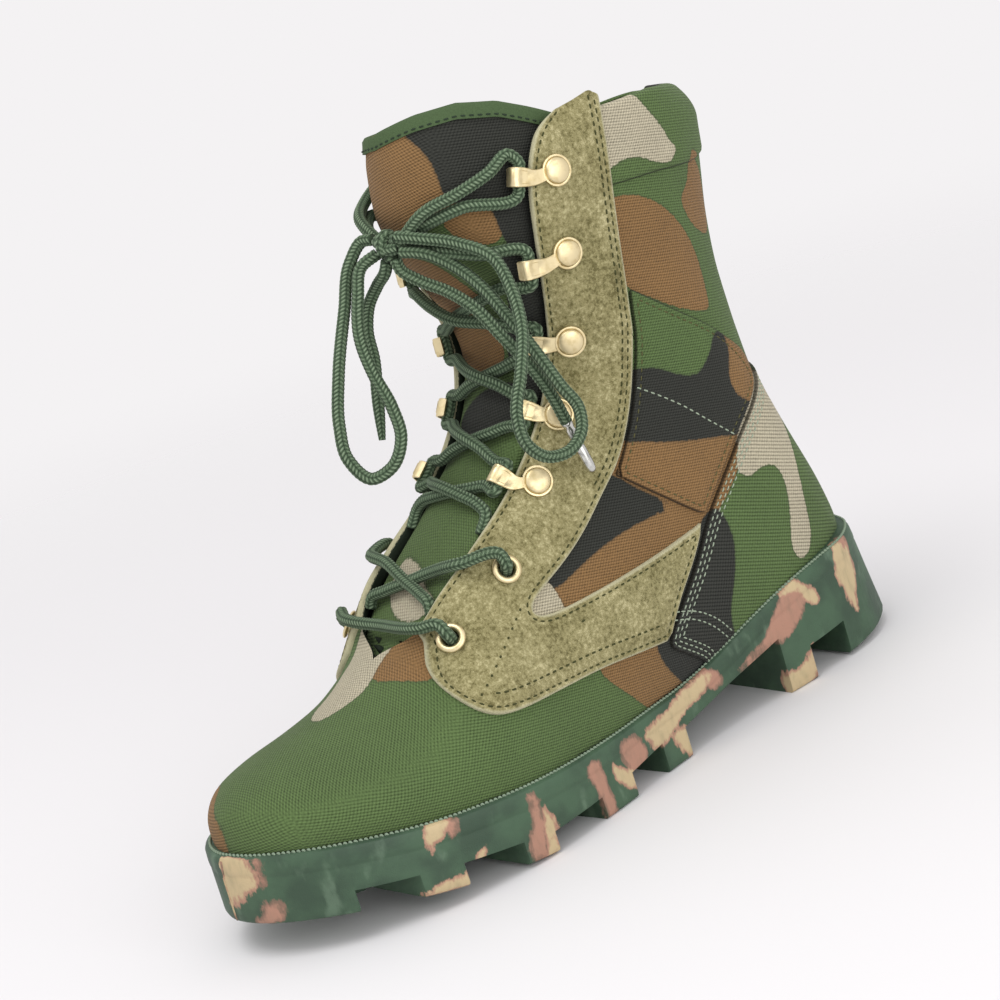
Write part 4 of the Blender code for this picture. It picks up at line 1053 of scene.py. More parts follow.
@dataclass
class Patch:
    """Triangles on the upper. Each corner has a section number, a share and a side."""

    spots: Array
    faces: Array

    @classmethod
    def over(cls, rows: Array, columns: Array, sides: Sequence[int]) -> Patch:
        """Grid of triangles over these rows and columns."""
        spots, faces = [], []
        for side in sides:
            first = sum(map(len, spots))
            u, s = np.meshgrid(rows, columns, indexing="ij")
            spots.append(np.column_stack((u.ravel(), s.ravel(), np.full(u.size, side))))
            wide = len(columns)
            corner = (np.arange(len(rows) - 1)[:, None] * wide + np.arange(wide - 1)).ravel() + first
            a, b, c, d = corner, corner + 1, corner + wide + 1, corner + wide
            faces += [np.column_stack((a, b, c)), np.column_stack((a, c, d))]
        return cls(np.vstack(spots), np.vstack(faces))

    def points(self) -> Array:
        """Points of the upper's outside under the corners."""
        return FORM.surface(*self.spots.T)

    def split(self, depth: Array, keep: bool) -> Patch:
        """Cuts the triangles along the line where depth is 0.

        Args:
            depth: One number for each corner.
            keep: Whether the part with negative depth stays.

        Returns:
            The cut patch.
        """
        depth = np.where(np.abs(depth) < 1e-3, 1e-3, depth)
        above = depth > 0
        count = above[self.faces].sum(1)
        whole = self.faces[(count == 3) | ((count == 0) & keep)]
        cut = self.faces[(count == 1) | (count == 2)]
        lone = np.where((above[cut].sum(1) == 1)[:, None], above[cut], ~above[cut]).argmax(1)
        row = np.arange(len(cut))
        tip, second, third = (cut[row, (lone + k) % 3] for k in range(3))
        edges = np.sort(np.vstack((np.column_stack((tip, second)), np.column_stack((tip, third)))), axis=1)
        fresh, which = np.unique(edges, axis=0, return_inverse=True)
        which = which.reshape(-1)
        share = depth[fresh[:, 0]] / (depth[fresh[:, 0]] - depth[fresh[:, 1]])
        start, end = self.spots[fresh[:, 0]], self.spots[fresh[:, 1]]
        spots = start + share[:, None] * (end - start)
        first = len(self.spots)
        on_second, on_third = first + which[: len(cut)], first + which[len(cut) :]
        small = np.column_stack((tip, on_second, on_third))
        large = (np.column_stack((on_second, second, third)), np.column_stack((on_second, third, on_third)))
        twice = np.concatenate((above[tip], above[tip]))
        faces = np.vstack((whole, small[above[tip] | keep], np.vstack(large)[~twice | keep]))
        return Patch(np.vstack((self.spots, spots)), faces).tidy()

    def tidy(self) -> Patch:
        """Patch without unused corners."""
        used, index = np.unique(self.faces, return_inverse=True)
        return Patch(self.spots[used], index.reshape(-1, 3))

    def welded(self) -> Patch:
        """Patch whose corners are joined where the two sides meet."""
        keys = np.round(self.points(), 4) + 0.0
        _, first, index = np.unique(keys, axis=0, return_index=True, return_inverse=True)
        faces = index.reshape(-1)[self.faces]
        flat = (faces[:, 0] == faces[:, 1]) | (faces[:, 1] == faces[:, 2]) | (faces[:, 0] == faces[:, 2])
        return Patch(self.spots[first], faces[~flat])

    def sheet(self, low: Array | float, high: Array | float, tucked: bool = False) -> tuple[Array, Faces]:
        """Closed sheet between two heights over the upper.

        Args:
            low: Height of the underside at the corners.
            high: Height of the outside at the corners.
            tucked: Whether the top edge stays down inside the cuff.

        Returns:
            Points, outside first, and faces.
        """
        base, out = dressed(*self.spots.T, tucked)
        low, high = (np.broadcast_to(np.asarray(h, float), len(base))[:, None] for h in (low, high))
        points = np.vstack((base + out * high, base + out * low))
        count = len(base)
        ends = np.sort(np.vstack([self.faces[:, [k, (k + 1) % 3]] for k in range(3)]), axis=1)
        rim, uses = np.unique(ends, axis=0, return_counts=True)
        rim = rim[uses == 1]
        faces = [tuple(f) for f in self.faces] + [tuple(f[::-1] + count) for f in self.faces]
        faces += [(a, b, b + count, a + count) for a, b in rim]
        return points, faces


def facing(out: Array) -> dict[str, Array]:
    """How far surfaces with these normals face sideways, up and forward."""
    weight = np.abs(out) ** 8
    weight /= weight.sum(1, keepdims=True)
    return {"faces_front": weight[:, 0], "faces_side": weight[:, 1], "faces_up": weight[:, 2]}


def canvas_values(spots: Array, points: Array) -> dict[str, Array]:
    """Print and facing of canvas that lies on the upper.

    Args:
        spots: Section numbers, shares and sides.
        points: The same places in space.

    Returns:
        Numbers for the canvas finish.
    """
    seen = points[:, [0, 2]].copy()
    away = np.clip((points[:, 0] - INNER_PRINT_START) / INNER_PRINT_BLEND, 0.0, 1.0) * (spots[:, 2] < 0)
    seen += away[:, None] * INNER_PRINT_MOVE
    layers = print_layers(seen, SIDE_PRINT)
    vamp = print_layers(points[:, [0, 1]], VAMP_PRINT)
    back = print_layers(points[:, [1, 2]], BACK_PRINT)
    values = {}
    for key in layers:
        behind = np.minimum(back[key], BACK_END - points[:, 0])
        values[key] = np.maximum(np.maximum(layers[key], vamp[key]), behind)
    return values | facing(FORM.outward(*spots.T))


def doubled(values: dict[str, Array]) -> dict[str, Array]:
    """Numbers for both faces of a sheet."""
    return {key: np.concatenate((numbers, numbers)) for key, numbers in values.items()}


def eyelet_gap(points: Array) -> Array:
    """Distance of points outside the nearest eyelet's hole."""
    far = np.full(len(points), 1e3)
    for u, s in Fixings.eyelets:
        for side in Side:
            centre = FORM.surface(u, s, side.value)
            far = np.minimum(far, np.linalg.norm(points - centre, axis=1))
    return far - EYELET_HOLE


@dataclass
class Sole:
    """Moulded sole with its lugs, the ridge on its toe and the thread along its top edge."""

    # Side of the sole from below upwards: measured from, z, inset
    side: tuple[tuple[str, float, float], ...] = (
        ("underside", 0.0, 1.3),
        ("underside", 0.6, 0.4),
        ("underside", 1.6, 0.0),
        ("feather", -8.0, 0.2),
        ("feather", -7.5, 0.3),
        ("feather", -6.9, 0.3),
        ("feather", -6.3, 0.05),
        ("feather", -5.0, 0.0),
        ("feather", -1.6, 0.2),
        ("feather", -0.6, 0.7),
        ("feather", 0.0, 1.7),
    )
    heel_tuck: float = 1.0
    heel_draft: float = 8.6
    heel_draft_end: float = 60.0
    # Rise of the heel over the plain sole: x, rise of the tread, rise of the top edge
    heel_rise: Rows = (
        (0.0, 4.0, 6.4),
        (20.0, 2.9, 6.0),
        (42.0, 1.4, 5.4),
        (62.0, 0.0, 4.1),
        (84.0, 0.0, 2.1),
        (98.0, 0.0, 1.0),
        (116.0, 0.0, 0.0),
    )
    # Channels in from both edges: rear x, front x, inner end y, forward slant, rear roof z, front roof z
    edge_channels: Rows = (
        (42.0, 62.0, 12.0, 2.0, 12.0, 12.0),
        (141.0, 160.0, 20.0, 6.0, 11.5, 9.5),
        (177.0, 202.0, 20.0, 7.0, 8.5, 8.0),
        (215.0, 237.6, 20.0, 7.0, 10.2, 13.4),
        (252.8, 272.0, 18.0, 6.0, 15.8, 18.8),
    )
    # Raised arch across the whole width: rear x, front x, rear roof z, front roof z
    arch: tuple[float, ...] = (77.0, 131.0, 20.5, 11.5)
    # Long grooves beside the middle lugs: x, inner y, outer y, roof z
    long_groove: Rows = (
        (122.0, 13.0, 20.0, 12.5),
        (160.0, 13.0, 21.0, 9.5),
        (190.0, 13.0, 21.0, 8.0),
        (217.0, 13.0, 21.0, 10.4),
        (241.0, 12.0, 20.0, 14.0),
        (272.0, 9.0, 17.0, 18.5),
    )
    # Cuts between the middle lugs: rear x, front x, roof z
    middle_cuts: Rows = ((148.0, 157.0, 9.8), (187.0, 196.0, 8.0), (226.0, 235.0, 12.4))
    # How far the cuts reach past the edge and below the tread, and half the width of the middle cuts
    beyond: float = 75.0
    below: float = -5.0
    middle_half: float = 16.0
    plan_steps: int = 6
    bevel: float = 0.8
    bevel_angle: float = 38.0
    longest_edge: float = 3.6
    # Smears: x where they leave the heel's rise and length of that change, loss inwards and its start, and
    # the sum of a place's x on the outer and on the inner side
    smears_stay: float = 32.0
    smears_blend: float = 12.0
    fade: float = 0.9
    fade_start: float = 2.5
    mirrored: float = 312.0
    # Section of the toe's ridge, its distance back into the rubber and its slant
    ridge: Rows = ((-1.6, -0.8, 0.0), (0.0, -0.8, 0.0), (0.7, 0.0, 0.0), (-0.1, 0.8, 0.0), (-1.6, 0.8, 0.0))
    ridge_sink: float = 0.35
    ridge_slant: float = 3.0
    stitch_pitch: float = 1.75
    stitch_inset: float = 2.4
    heel_stitch_inset: float = 1.3
    heel_stitch_drop: float = 0.25

    def lean(self, x: Array, share: Array | float = 1.0) -> Array:
        """Distance that the heel leans forward at a share of its height."""
        behind = np.maximum(0.0, 1.0 - x / self.heel_draft_end) ** 2
        return (self.heel_tuck + self.heel_draft * share) * behind

    def drafted(self, edge: Array, base: str, rise: float) -> Array:
        """Edge of the plan at a height, moved forward at the heel by the draft.

        Args:
            edge: Points of the plan.
            base: Line that the height is measured from.
            rise: Height over that line.

        Returns:
            Points in space.
        """
        x = edge[:, 0]
        top = FORM.feather(x)
        z = (top if base == "feather" else FORM.underside(x)) + rise
        return np.column_stack((x + self.lean(x, z / top), edge[:, 1], z))

    def risen(self, points: Array) -> Array:
        """Points of the plain sole moved up by the heel's rise."""
        x, tread, top = np.transpose(self.heel_rise)
        low, high = np.interp(points[:, 0], x, tread), np.interp(points[:, 0], x, top)
        share = np.clip(points[:, 2] / FORM.feather(points[:, 0]), 0.0, 1.0)
        return points + (low + (high - low) * share)[:, None] * (0.0, 0.0, 1.0)

    @staticmethod
    def lofted(rings: Sequence[tuple[Array, Array]]) -> tuple[Array, Faces]:
        """Closed solid through plan rings of outer and inner edge points, lowest first."""
        points: list[Array] = []
        faces: Faces = []
        loops = []
        for outer, inner in rings:
            first = sum(map(len, points))
            count = len(outer)
            points += [outer, inner[1:-1]]
            within = [first + count + k for k in range(count - 2)]
            loops.append(([first + k for k in range(count)], [first] + within + [first + count - 1]))
        for (low_out, low_in), (high_out, high_in) in zip(loops, loops[1:]):
            for low, high in ((low_out, high_out), (high_in, low_in)):
                faces += [(low[k], low[k + 1], high[k + 1], high[k]) for k in range(len(low) - 1)]
        for outer, inner in (loops[0], loops[-1]):
            for k in range(len(outer) - 1):
                faces.append(tuple(dict.fromkeys((outer[k], outer[k + 1], inner[k + 1], inner[k]))))
        return np.vstack(points), faces

    def block(self, corners: Rows, roofs: Sequence[float]) -> tuple[list, Faces]:
        """Four-cornered block from below the tread up to a roof height at each corner."""
        points = [(x, y, self.below) for x, y in corners] + [(x, y, z) for (x, y), z in zip(corners, roofs)]
        faces: Faces = [(3, 2, 1, 0), (4, 5, 6, 7)]
        faces += [(i, (i + 1) % 4, (i + 1) % 4 + 4, i + 4) for i in range(4)]
        return points, faces

    def cutters(self) -> list[list[tuple[list, Faces]]]:
        """Blocks that are cut out of the tread, one list for each cut."""
        edges = []
        for rear, front, reach, slant, rear_roof, front_roof in self.edge_channels:
            for side in (1, -1):
                past, end = side * self.beyond, side * reach
                corners = ((rear, past), (front, past), (front + slant, end), (rear + slant, end))
                edges.append(self.block(corners, (rear_roof, front_roof, front_roof, rear_roof)))
        rear, front, rear_roof, front_roof = self.arch
        corners = ((rear, -self.beyond), (front, -self.beyond), (front, self.beyond), (rear, self.beyond))
        edges.append(self.block(corners, (rear_roof, front_roof, front_roof, rear_roof)))
        grooves = []
        for side in (1, -1):
            points: list = []
            for x, near, far, roof in self.long_groove:
                corners = ((near, self.below), (far, self.below), (far, roof), (near, roof))
                points += [(x, side * y, z) for y, z in corners]
            grooves.append((points, tube_faces(len(self.long_groove), len(corners))))
        middles = []
        for rear, front, roof in self.middle_cuts:
            half = self.middle_half
            corners = ((rear, -half), (front, -half), (front, half), (rear, half))
            middles.append(self.block(corners, (roof,) * len(corners)))
        return [edges, grooves, middles]

    @staticmethod
    def helper(name: str, parts: Sequence[tuple[list, Faces]]) -> bpy.types.Object:
        """Object of several closed blocks that only takes part in a cut."""
        mesh = bpy.data.meshes.new(name)
        shell = bmesh.new()
        for points, faces in parts:
            corners = [shell.verts.new(p) for p in FORM.place(points)]
            for face in faces:
                shell.faces.new([corners[k] for k in face])
        bmesh.ops.recalc_face_normals(shell, faces=shell.faces)
        shell.to_mesh(mesh)
        shell.free()
        made = bpy.data.objects.new(name, mesh)
        bpy.context.scene.collection.objects.link(made)
        return made

    def carve(self) -> bpy.types.Mesh:
        """Mesh of the sole with its tread cut and its edges rounded."""
        rings = []
        for base, rise, inset in self.side:
            outer, inner = FORM.plan_ring(inset, self.plan_steps)
            rings.append((self.drafted(outer, base, rise), self.drafted(inner, base, rise)))
        points, faces = self.lofted(rings)
        blank = self.helper("sole_blank", [(points.tolist(), faces)])
        helpers = [blank]
        for number, parts in enumerate(self.cutters()):
            tool = self.helper(f"sole_cut_{number}", parts)
            cut = blank.modifiers.new(tool.name, "BOOLEAN")
            cut.object, cut.operation, cut.solver = tool, "DIFFERENCE", "EXACT"
            helpers.append(tool)
        soften = blank.modifiers.new("soften", "BEVEL")
        soften.width, soften.segments, soften.limit_method = self.bevel * MM, 2, "ANGLE"
        soften.angle_limit = math.radians(self.bevel_angle)
        graph = bpy.context.evaluated_depsgraph_get()
        mesh = bpy.data.meshes.new_from_object(blank.evaluated_get(graph))
        for used in helpers:
            bpy.data.objects.remove(used, do_unlink=True)
        shell = bmesh.new()
        shell.from_mesh(mesh)
        bmesh.ops.triangulate(shell, faces=shell.faces)
        for _ in range(6):
            long = [e for e in shell.edges if e.calc_length() > self.longest_edge * MM]
            if not long:
                break
            bmesh.ops.subdivide_edges(shell, edges=long, cuts=1)
            bmesh.ops.triangulate(shell, faces=shell.faces)
        shell.to_mesh(mesh)
        shell.free()
        return mesh

    def build(self, rubber: Material, thread: Material) -> None:
        """Adds the sole, the thread along its top edge and the toe's ridge."""
        mesh = self.carve()
        places = np.zeros(len(mesh.vertices) * 3)
        mesh.vertices.foreach_get("co", places)
        points = places.reshape(-1, 3) / MM + (LENGTH / 2, FORM.y_middle, 0.0)
        x, y, _ = points.T
        moved = self.risen(points)
        kept = np.clip((self.smears_stay - x) / self.smears_blend, 0.0, 1.0)[:, None]
        seen = (moved + (points - moved) * kept)[:, [0, 2]]
        seen[y < 0, 0] = self.mirrored - seen[y < 0, 0]
        faces = [tuple(f.vertices) for f in mesh.polygons]
        outer, inner = FORM.plan_ring(0.0, 2 * self.plan_steps)
        inward = np.minimum(np.interp(x, *outer.T) - y, y - np.interp(x, *inner.T))
        smears = print_layers(seen, SOLE_SMEARS, passes=1)
        loss = self.fade * np.maximum(inward - self.fade_start, 0.0)
        smears = {key: depth - loss for key, depth in smears.items()}
        sole = add_piece("sole", moved, faces, [rubber], smears, sharp=32.0)
        bpy.data.meshes.remove(mesh)
        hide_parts("outsole")
        self.welt(thread)
        self.rib(rubber)

    def welt(self, thread: Material) -> None:
        """Adds the thread along the top edge, further out where the heel rises."""
        loops = []
        for inset, drop in ((self.stitch_inset, 0.0), (self.heel_stitch_inset, self.heel_stitch_drop)):
            outer, inner = FORM.plan_ring(inset, 2 * self.plan_steps)
            ring = np.vstack((outer, inner[-2:0:-1]))
            loops.append(np.column_stack((ring, FORM.feather(ring[:, 0]) - drop)))
        out = np.clip((self.risen(loops[0]) - loops[0])[:, 2:] / 2.0, 0.0, 1.0)
        loop = loops[0] + (loops[1] - loops[0]) * out
        loop[:, 0] += self.lean(loop[:, 0])
        loop = self.risen(np.vstack((loop, loop[:1])))
        seam = Thread(0.5, self.stitch_pitch * 0.85, self.stitch_pitch)
        seam.lay(loop + (0, 0, 0.2), np.tile((0.0, 0.0, 1.0), (len(loop), 1)), slant=0.4)
        seam.build("welt_thread", thread)

    def rib(self, rubber: Material) -> None:
        """Adds the moulding ridge down the front of the toe."""
        points = []
        heights = self.side[1:-2]
        for number, (base, rise, inset) in enumerate(heights):
            outer, _ = FORM.plan_ring(inset, self.plan_steps)
            tip = self.drafted(outer[-1:], base, rise)[0]
            tip = tip + (-self.ridge_sink, self.ridge_slant * number / len(heights), 0.0)
            points += [tip + step for step in self.ridge]
        faces = tube_faces(len(heights), len(self.ridge))
        values = {Smear.TAN.value: np.full(len(points), 0.6), Smear.PINK.value: np.full(len(points), -9.0)}
        add_piece("toe_rib", np.array(points), faces, [rubber], values, sharp=40.0)


@dataclass
class Thread:
    """Rows of stitches that become one piece."""

    radius: float
    length: float
    pitch: float
    points: list[Array] = field(default_factory=list)
    faces: Faces = field(default_factory=list)

    def lay(self, path: Array, out: Array, slant: float = 0.0) -> None:
        """Adds a row of stitches.

        Args:
            path: Points of the row in space.
            out: Direction away from the cloth at those points.
            slant: Sideways lean of each stitch as a share of its length.
        """
        run = runs(path)
        count = int(run[-1] / self.pitch)
        for k in range(count):
            middle = (k + 0.5) * run[-1] / count
            ends = np.array((middle - self.length / 2, middle + self.length / 2))
            a, b = (np.array([np.interp(at, run, path[:, i]) for i in range(3)]) for at in ends)
            up = unit(np.array([np.interp(middle, run, out[:, i]) for i in range(3)]))
            ahead = unit(b - a)
            across = unit(np.cross(ahead, up))
            self.stitch(a - across * slant * self.length / 2, b + across * slant * self.length / 2, up)

    def stitch(self, a: Array, b: Array, up: Array) -> None:
        """Adds one stitch, thick in the middle and bent down at both ends."""
        ahead = unit(b - a)
        across = unit(np.cross(ahead, up))
        first = len(self.points)
        rings = ((0.0, 0.45, -0.9), (0.18, 0.95, 0.0), (0.5, 1.0, 0.35), (0.82, 0.95, 0.0), (1.0, 0.45, -0.9))
        sides = 6
        for share, thick, lift in rings:
            centre = a + (b - a) * share + up * lift * self.radius
            for k in range(sides):
                turn = 2 * math.pi * k / sides
                ray = across * math.cos(turn) + up * math.sin(turn)
                self.points.append(centre + ray * self.radius * thick)
        self.faces += tube_faces(len(rings), sides, first)

    def build(self, name: str, finish: Material) -> bpy.types.Object:
        """Turns the rows into one piece."""
        return add_piece(name, np.array(self.points), self.faces, [finish])


@dataclass
class Footbed:
    """Insole on the sole, with a raised rim."""

    inset: float = 8.6
    lift: float = 0.5
    thickness: float = 3.4

    def build(self, finish: Material) -> None:
        """Adds the insole."""
        rings = []
        for rise, inset in ((0.0, 0.6), (0.8, 0.0), (self.thickness - 0.8, 0.0), (self.thickness, 1.2)):
            edges = FORM.plan_ring(self.inset + inset, 6)
            rings.append(tuple(np.column_stack((e, FORM.feather(e[:, 0]) + self.lift + rise)) for e in edges))
        points, faces = Sole.lofted(rings)
        points = Sole().risen(points)
        points[:, 0] += FORM.heel_draw(points[:, 0], points[:, 2])[0]
        bed = add_piece("footbed", points, faces, [finish], sharp=50.0)
        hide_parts("insole")


@dataclass
class Overlay:
    """Layer sewn on the upper, cut to an outline seen from the side."""

    name: str
    outline: Rows
    nodes: tuple[str, ...]
    sides: tuple[Side, ...]
    rows: tuple[float, float]
    columns: tuple[float, float]
    thickness: float
    edge: float
    seams: tuple[float, ...] = ()
    slot: str = "camouflage_canvas"
    lift: float = 0.35
    to_throat: bool = False
    # Height of the cut edge, depth under the cloth, half width and depth of a sewn furrow
    cut_edge: float = 0.15
    root: float = 0.6
    furrow: float = 0.55
    furrow_depth: float = 0.32

    def depth(self, patch: Patch, ring: Array) -> Array:
        """Distance of a patch's corners from the layer's edges, positive inside."""
        points = patch.points()
        depth = inside_by(points[:, [0, 2]], ring)
        u, _, side = patch.spots.T
        if self.to_throat:
            depth = np.minimum(depth, np.linalg.norm(points - FORM.surface(u, 1.0, side), axis=1) + 0.02)
        return depth

    def build(self, finish: Material) -> None:
        """Adds the layer."""
        ring = rounded(self.outline)
        rows = np.linspace(*self.rows, int((self.rows[1] - self.rows[0]) * ROW_STEPS) + 1)
        columns = np.linspace(*self.columns, COLUMNS)
        patch = Patch.over(rows, columns, [side.value for side in self.sides])
        patch = patch.split(self.depth(patch, ring), keep=False)
        levels = [0.3 * self.edge, self.edge]
        for seam in self.seams:
            levels += [seam - self.furrow, seam, seam + self.furrow]
        for level in levels:
            patch = patch.split(self.depth(patch, ring) - level, keep=True)
        if self.slot == "suede":
            patch = patch.split(eyelet_gap(patch.points()), keep=False)
        patch = patch.welded()
        depth = self.depth(patch, ring)
        round_off = np.sqrt(1.0 - (1.0 - np.clip(depth / self.edge, 0.0, 1.0)) ** 2)
        sunk = sum((np.exp(-(((depth - seam) / 0.5) ** 2)) for seam in self.seams), np.zeros(len(depth)))
        high = self.lift + self.cut_edge + (self.thickness - self.cut_edge) * round_off
        points, faces = patch.sheet(self.lift - self.root, high - self.furrow_depth * sunk)
        # On canvas layers a small rim paints shade along the cut edge; on suede it pales the edge
        values = canvas_values(patch.spots, patch.points()) | {"rim": depth}
        layer = add_piece(self.name, points, faces, [finish], doubled(values), sharp=60.0)
        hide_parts(*self.nodes)


@dataclass
class Upper:
    """Canvas shell with the layers sewn on it."""

    # Share of the wall left at the throat edge, and distance over which it grows to the whole wall
    thin_edge: float = 0.25
    thin_reach: float = 5.0
    over_sole: float = 0.15
    eyestay: Rows = (
        (89.6, 246.0), (94.4, 215.5), (97.8, 198.0), (100.0, 184.0), (102.0, 167.0), (104.6, 148.5),
        (108.2, 135.4), (114.2, 122.8), (122.4, 111.2), (132.6, 103.0), (144.3, 93.8), (156.3, 87.0),
        (167.0, 82.6), (174.5, 79.6), (177.6, 76.6), (175.8, 73.8), (168.4, 72.5), (149.8, 72.7),
        (124.5, 74.0), (103.2, 76.5), (97.6, 77.6), (97.6, 77.6), (106.2, 66.4), (118.0, 55.6),
        (127.6, 44.2), (127.6, 44.2), (142.4, 45.9), (160.8, 48.2), (180.3, 49.0), (199.8, 50.4),
        (208.0, 52.0), (213.2, 55.5), (216.4, 61.0), (217.4, 66.0), (216.0, 71.0), (213.2, 76.0),
        (210.8, 80.5), (211.0, 96.0), (180.0, 125.0), (160.0, 150.0), (150.0, 200.0), (130.0, 250.0),
    )
    ankle_band: Rows = (
        (101.0, 167.4), (101.0, 167.4), (87.0, 155.5), (68.0, 140.5), (57.0, 126.0), (54.0, 118.0),
        (56.6, 114.2), (63.8, 108.6), (72.8, 100.6), (84.6, 89.8), (94.6, 80.6), (96.6, 79.6),
        (115.0, 96.0), (126.0, 106.6), (126.0, 106.6), (121.6, 110.6), (113.2, 122.2), (107.2, 134.9),
        (103.6, 148.0),
    )
    heel_counter: Rows = (
        (-20.0, 121.0), (40.0, 120.0), (54.0, 114.0), (63.2, 106.8), (72.0, 99.0), (83.8, 88.2),
        (94.2, 78.6), (104.6, 65.4), (116.4, 54.4), (127.4, 44.0), (127.4, 40.6), (118.0, 33.8),
        (109.0, 26.6), (106.0, 10.0), (-20.0, 10.0),
    )

    def shell(self, canvas: Material, lining: Material) -> None:
        """Adds the canvas shell with its lining."""
        rows = np.linspace(0.0, TOP_ROW, TOP_ROW * ROW_STEPS + 1)
        columns = np.linspace(0.0, 1.0, COLUMNS)
        patch = Patch.over(rows, columns, [side.value for side in Side])
        patch = patch.split(eyelet_gap(patch.points()), keep=False).welded()
        u, _, side = patch.spots.T
        edge = np.linalg.norm(patch.points() - FORM.surface(u, 1.0, side), axis=1)
        edge[u < THROAT_ROW - 0.5] += 99.0
        wall = WALL * np.clip(self.thin_edge + edge / self.thin_reach, self.thin_edge, 1.0)
        points, faces = patch.sheet(-wall, 0.0, tucked=True)
        points[:, 2] = np.maximum(points[:, 2], FORM.feather(points[:, 0]) + self.over_sole)
        values = canvas_values(patch.spots, patch.points()) | {"rim": np.full(len(patch.spots), CLEAR_OF_RIM)}
        outside = len(patch.faces)
        which = [0] * outside + [1] * (len(faces) - outside)
        shell = add_piece("canvas_shell", points, faces, [canvas, lining], doubled(values), sharp=70.0,
                          which=which)
        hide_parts("upper")

    def layers(self, canvas: Material, ribbed: Material, suede: Material) -> None:
        """Adds facings, ankle bands and heel counter."""
        for side in Side:
            Overlay("facing_" + side.word, self.eyestay, ("eyestay_" + side.word,), (side,), (7.0, 29.0),
                    (0.0, 1.0), 1.6, 0.9, (2.2,), "suede", to_throat=True).build(suede)
            Overlay("band_" + side.word, self.ankle_band, ("ankle_band_" + side.word,), (side,), (11.0, 24.0),
                    (0.0, 1.0), 1.1, 0.8, (2.4,)).build(canvas)
        both = tuple(Side)
        Overlay("counter", self.heel_counter, ("heel_counter",), both, (10.0, 26.0), (0.0, 0.8), 1.1, 0.8,
                (1.6, 3.4, 5.2)).build(ribbed)


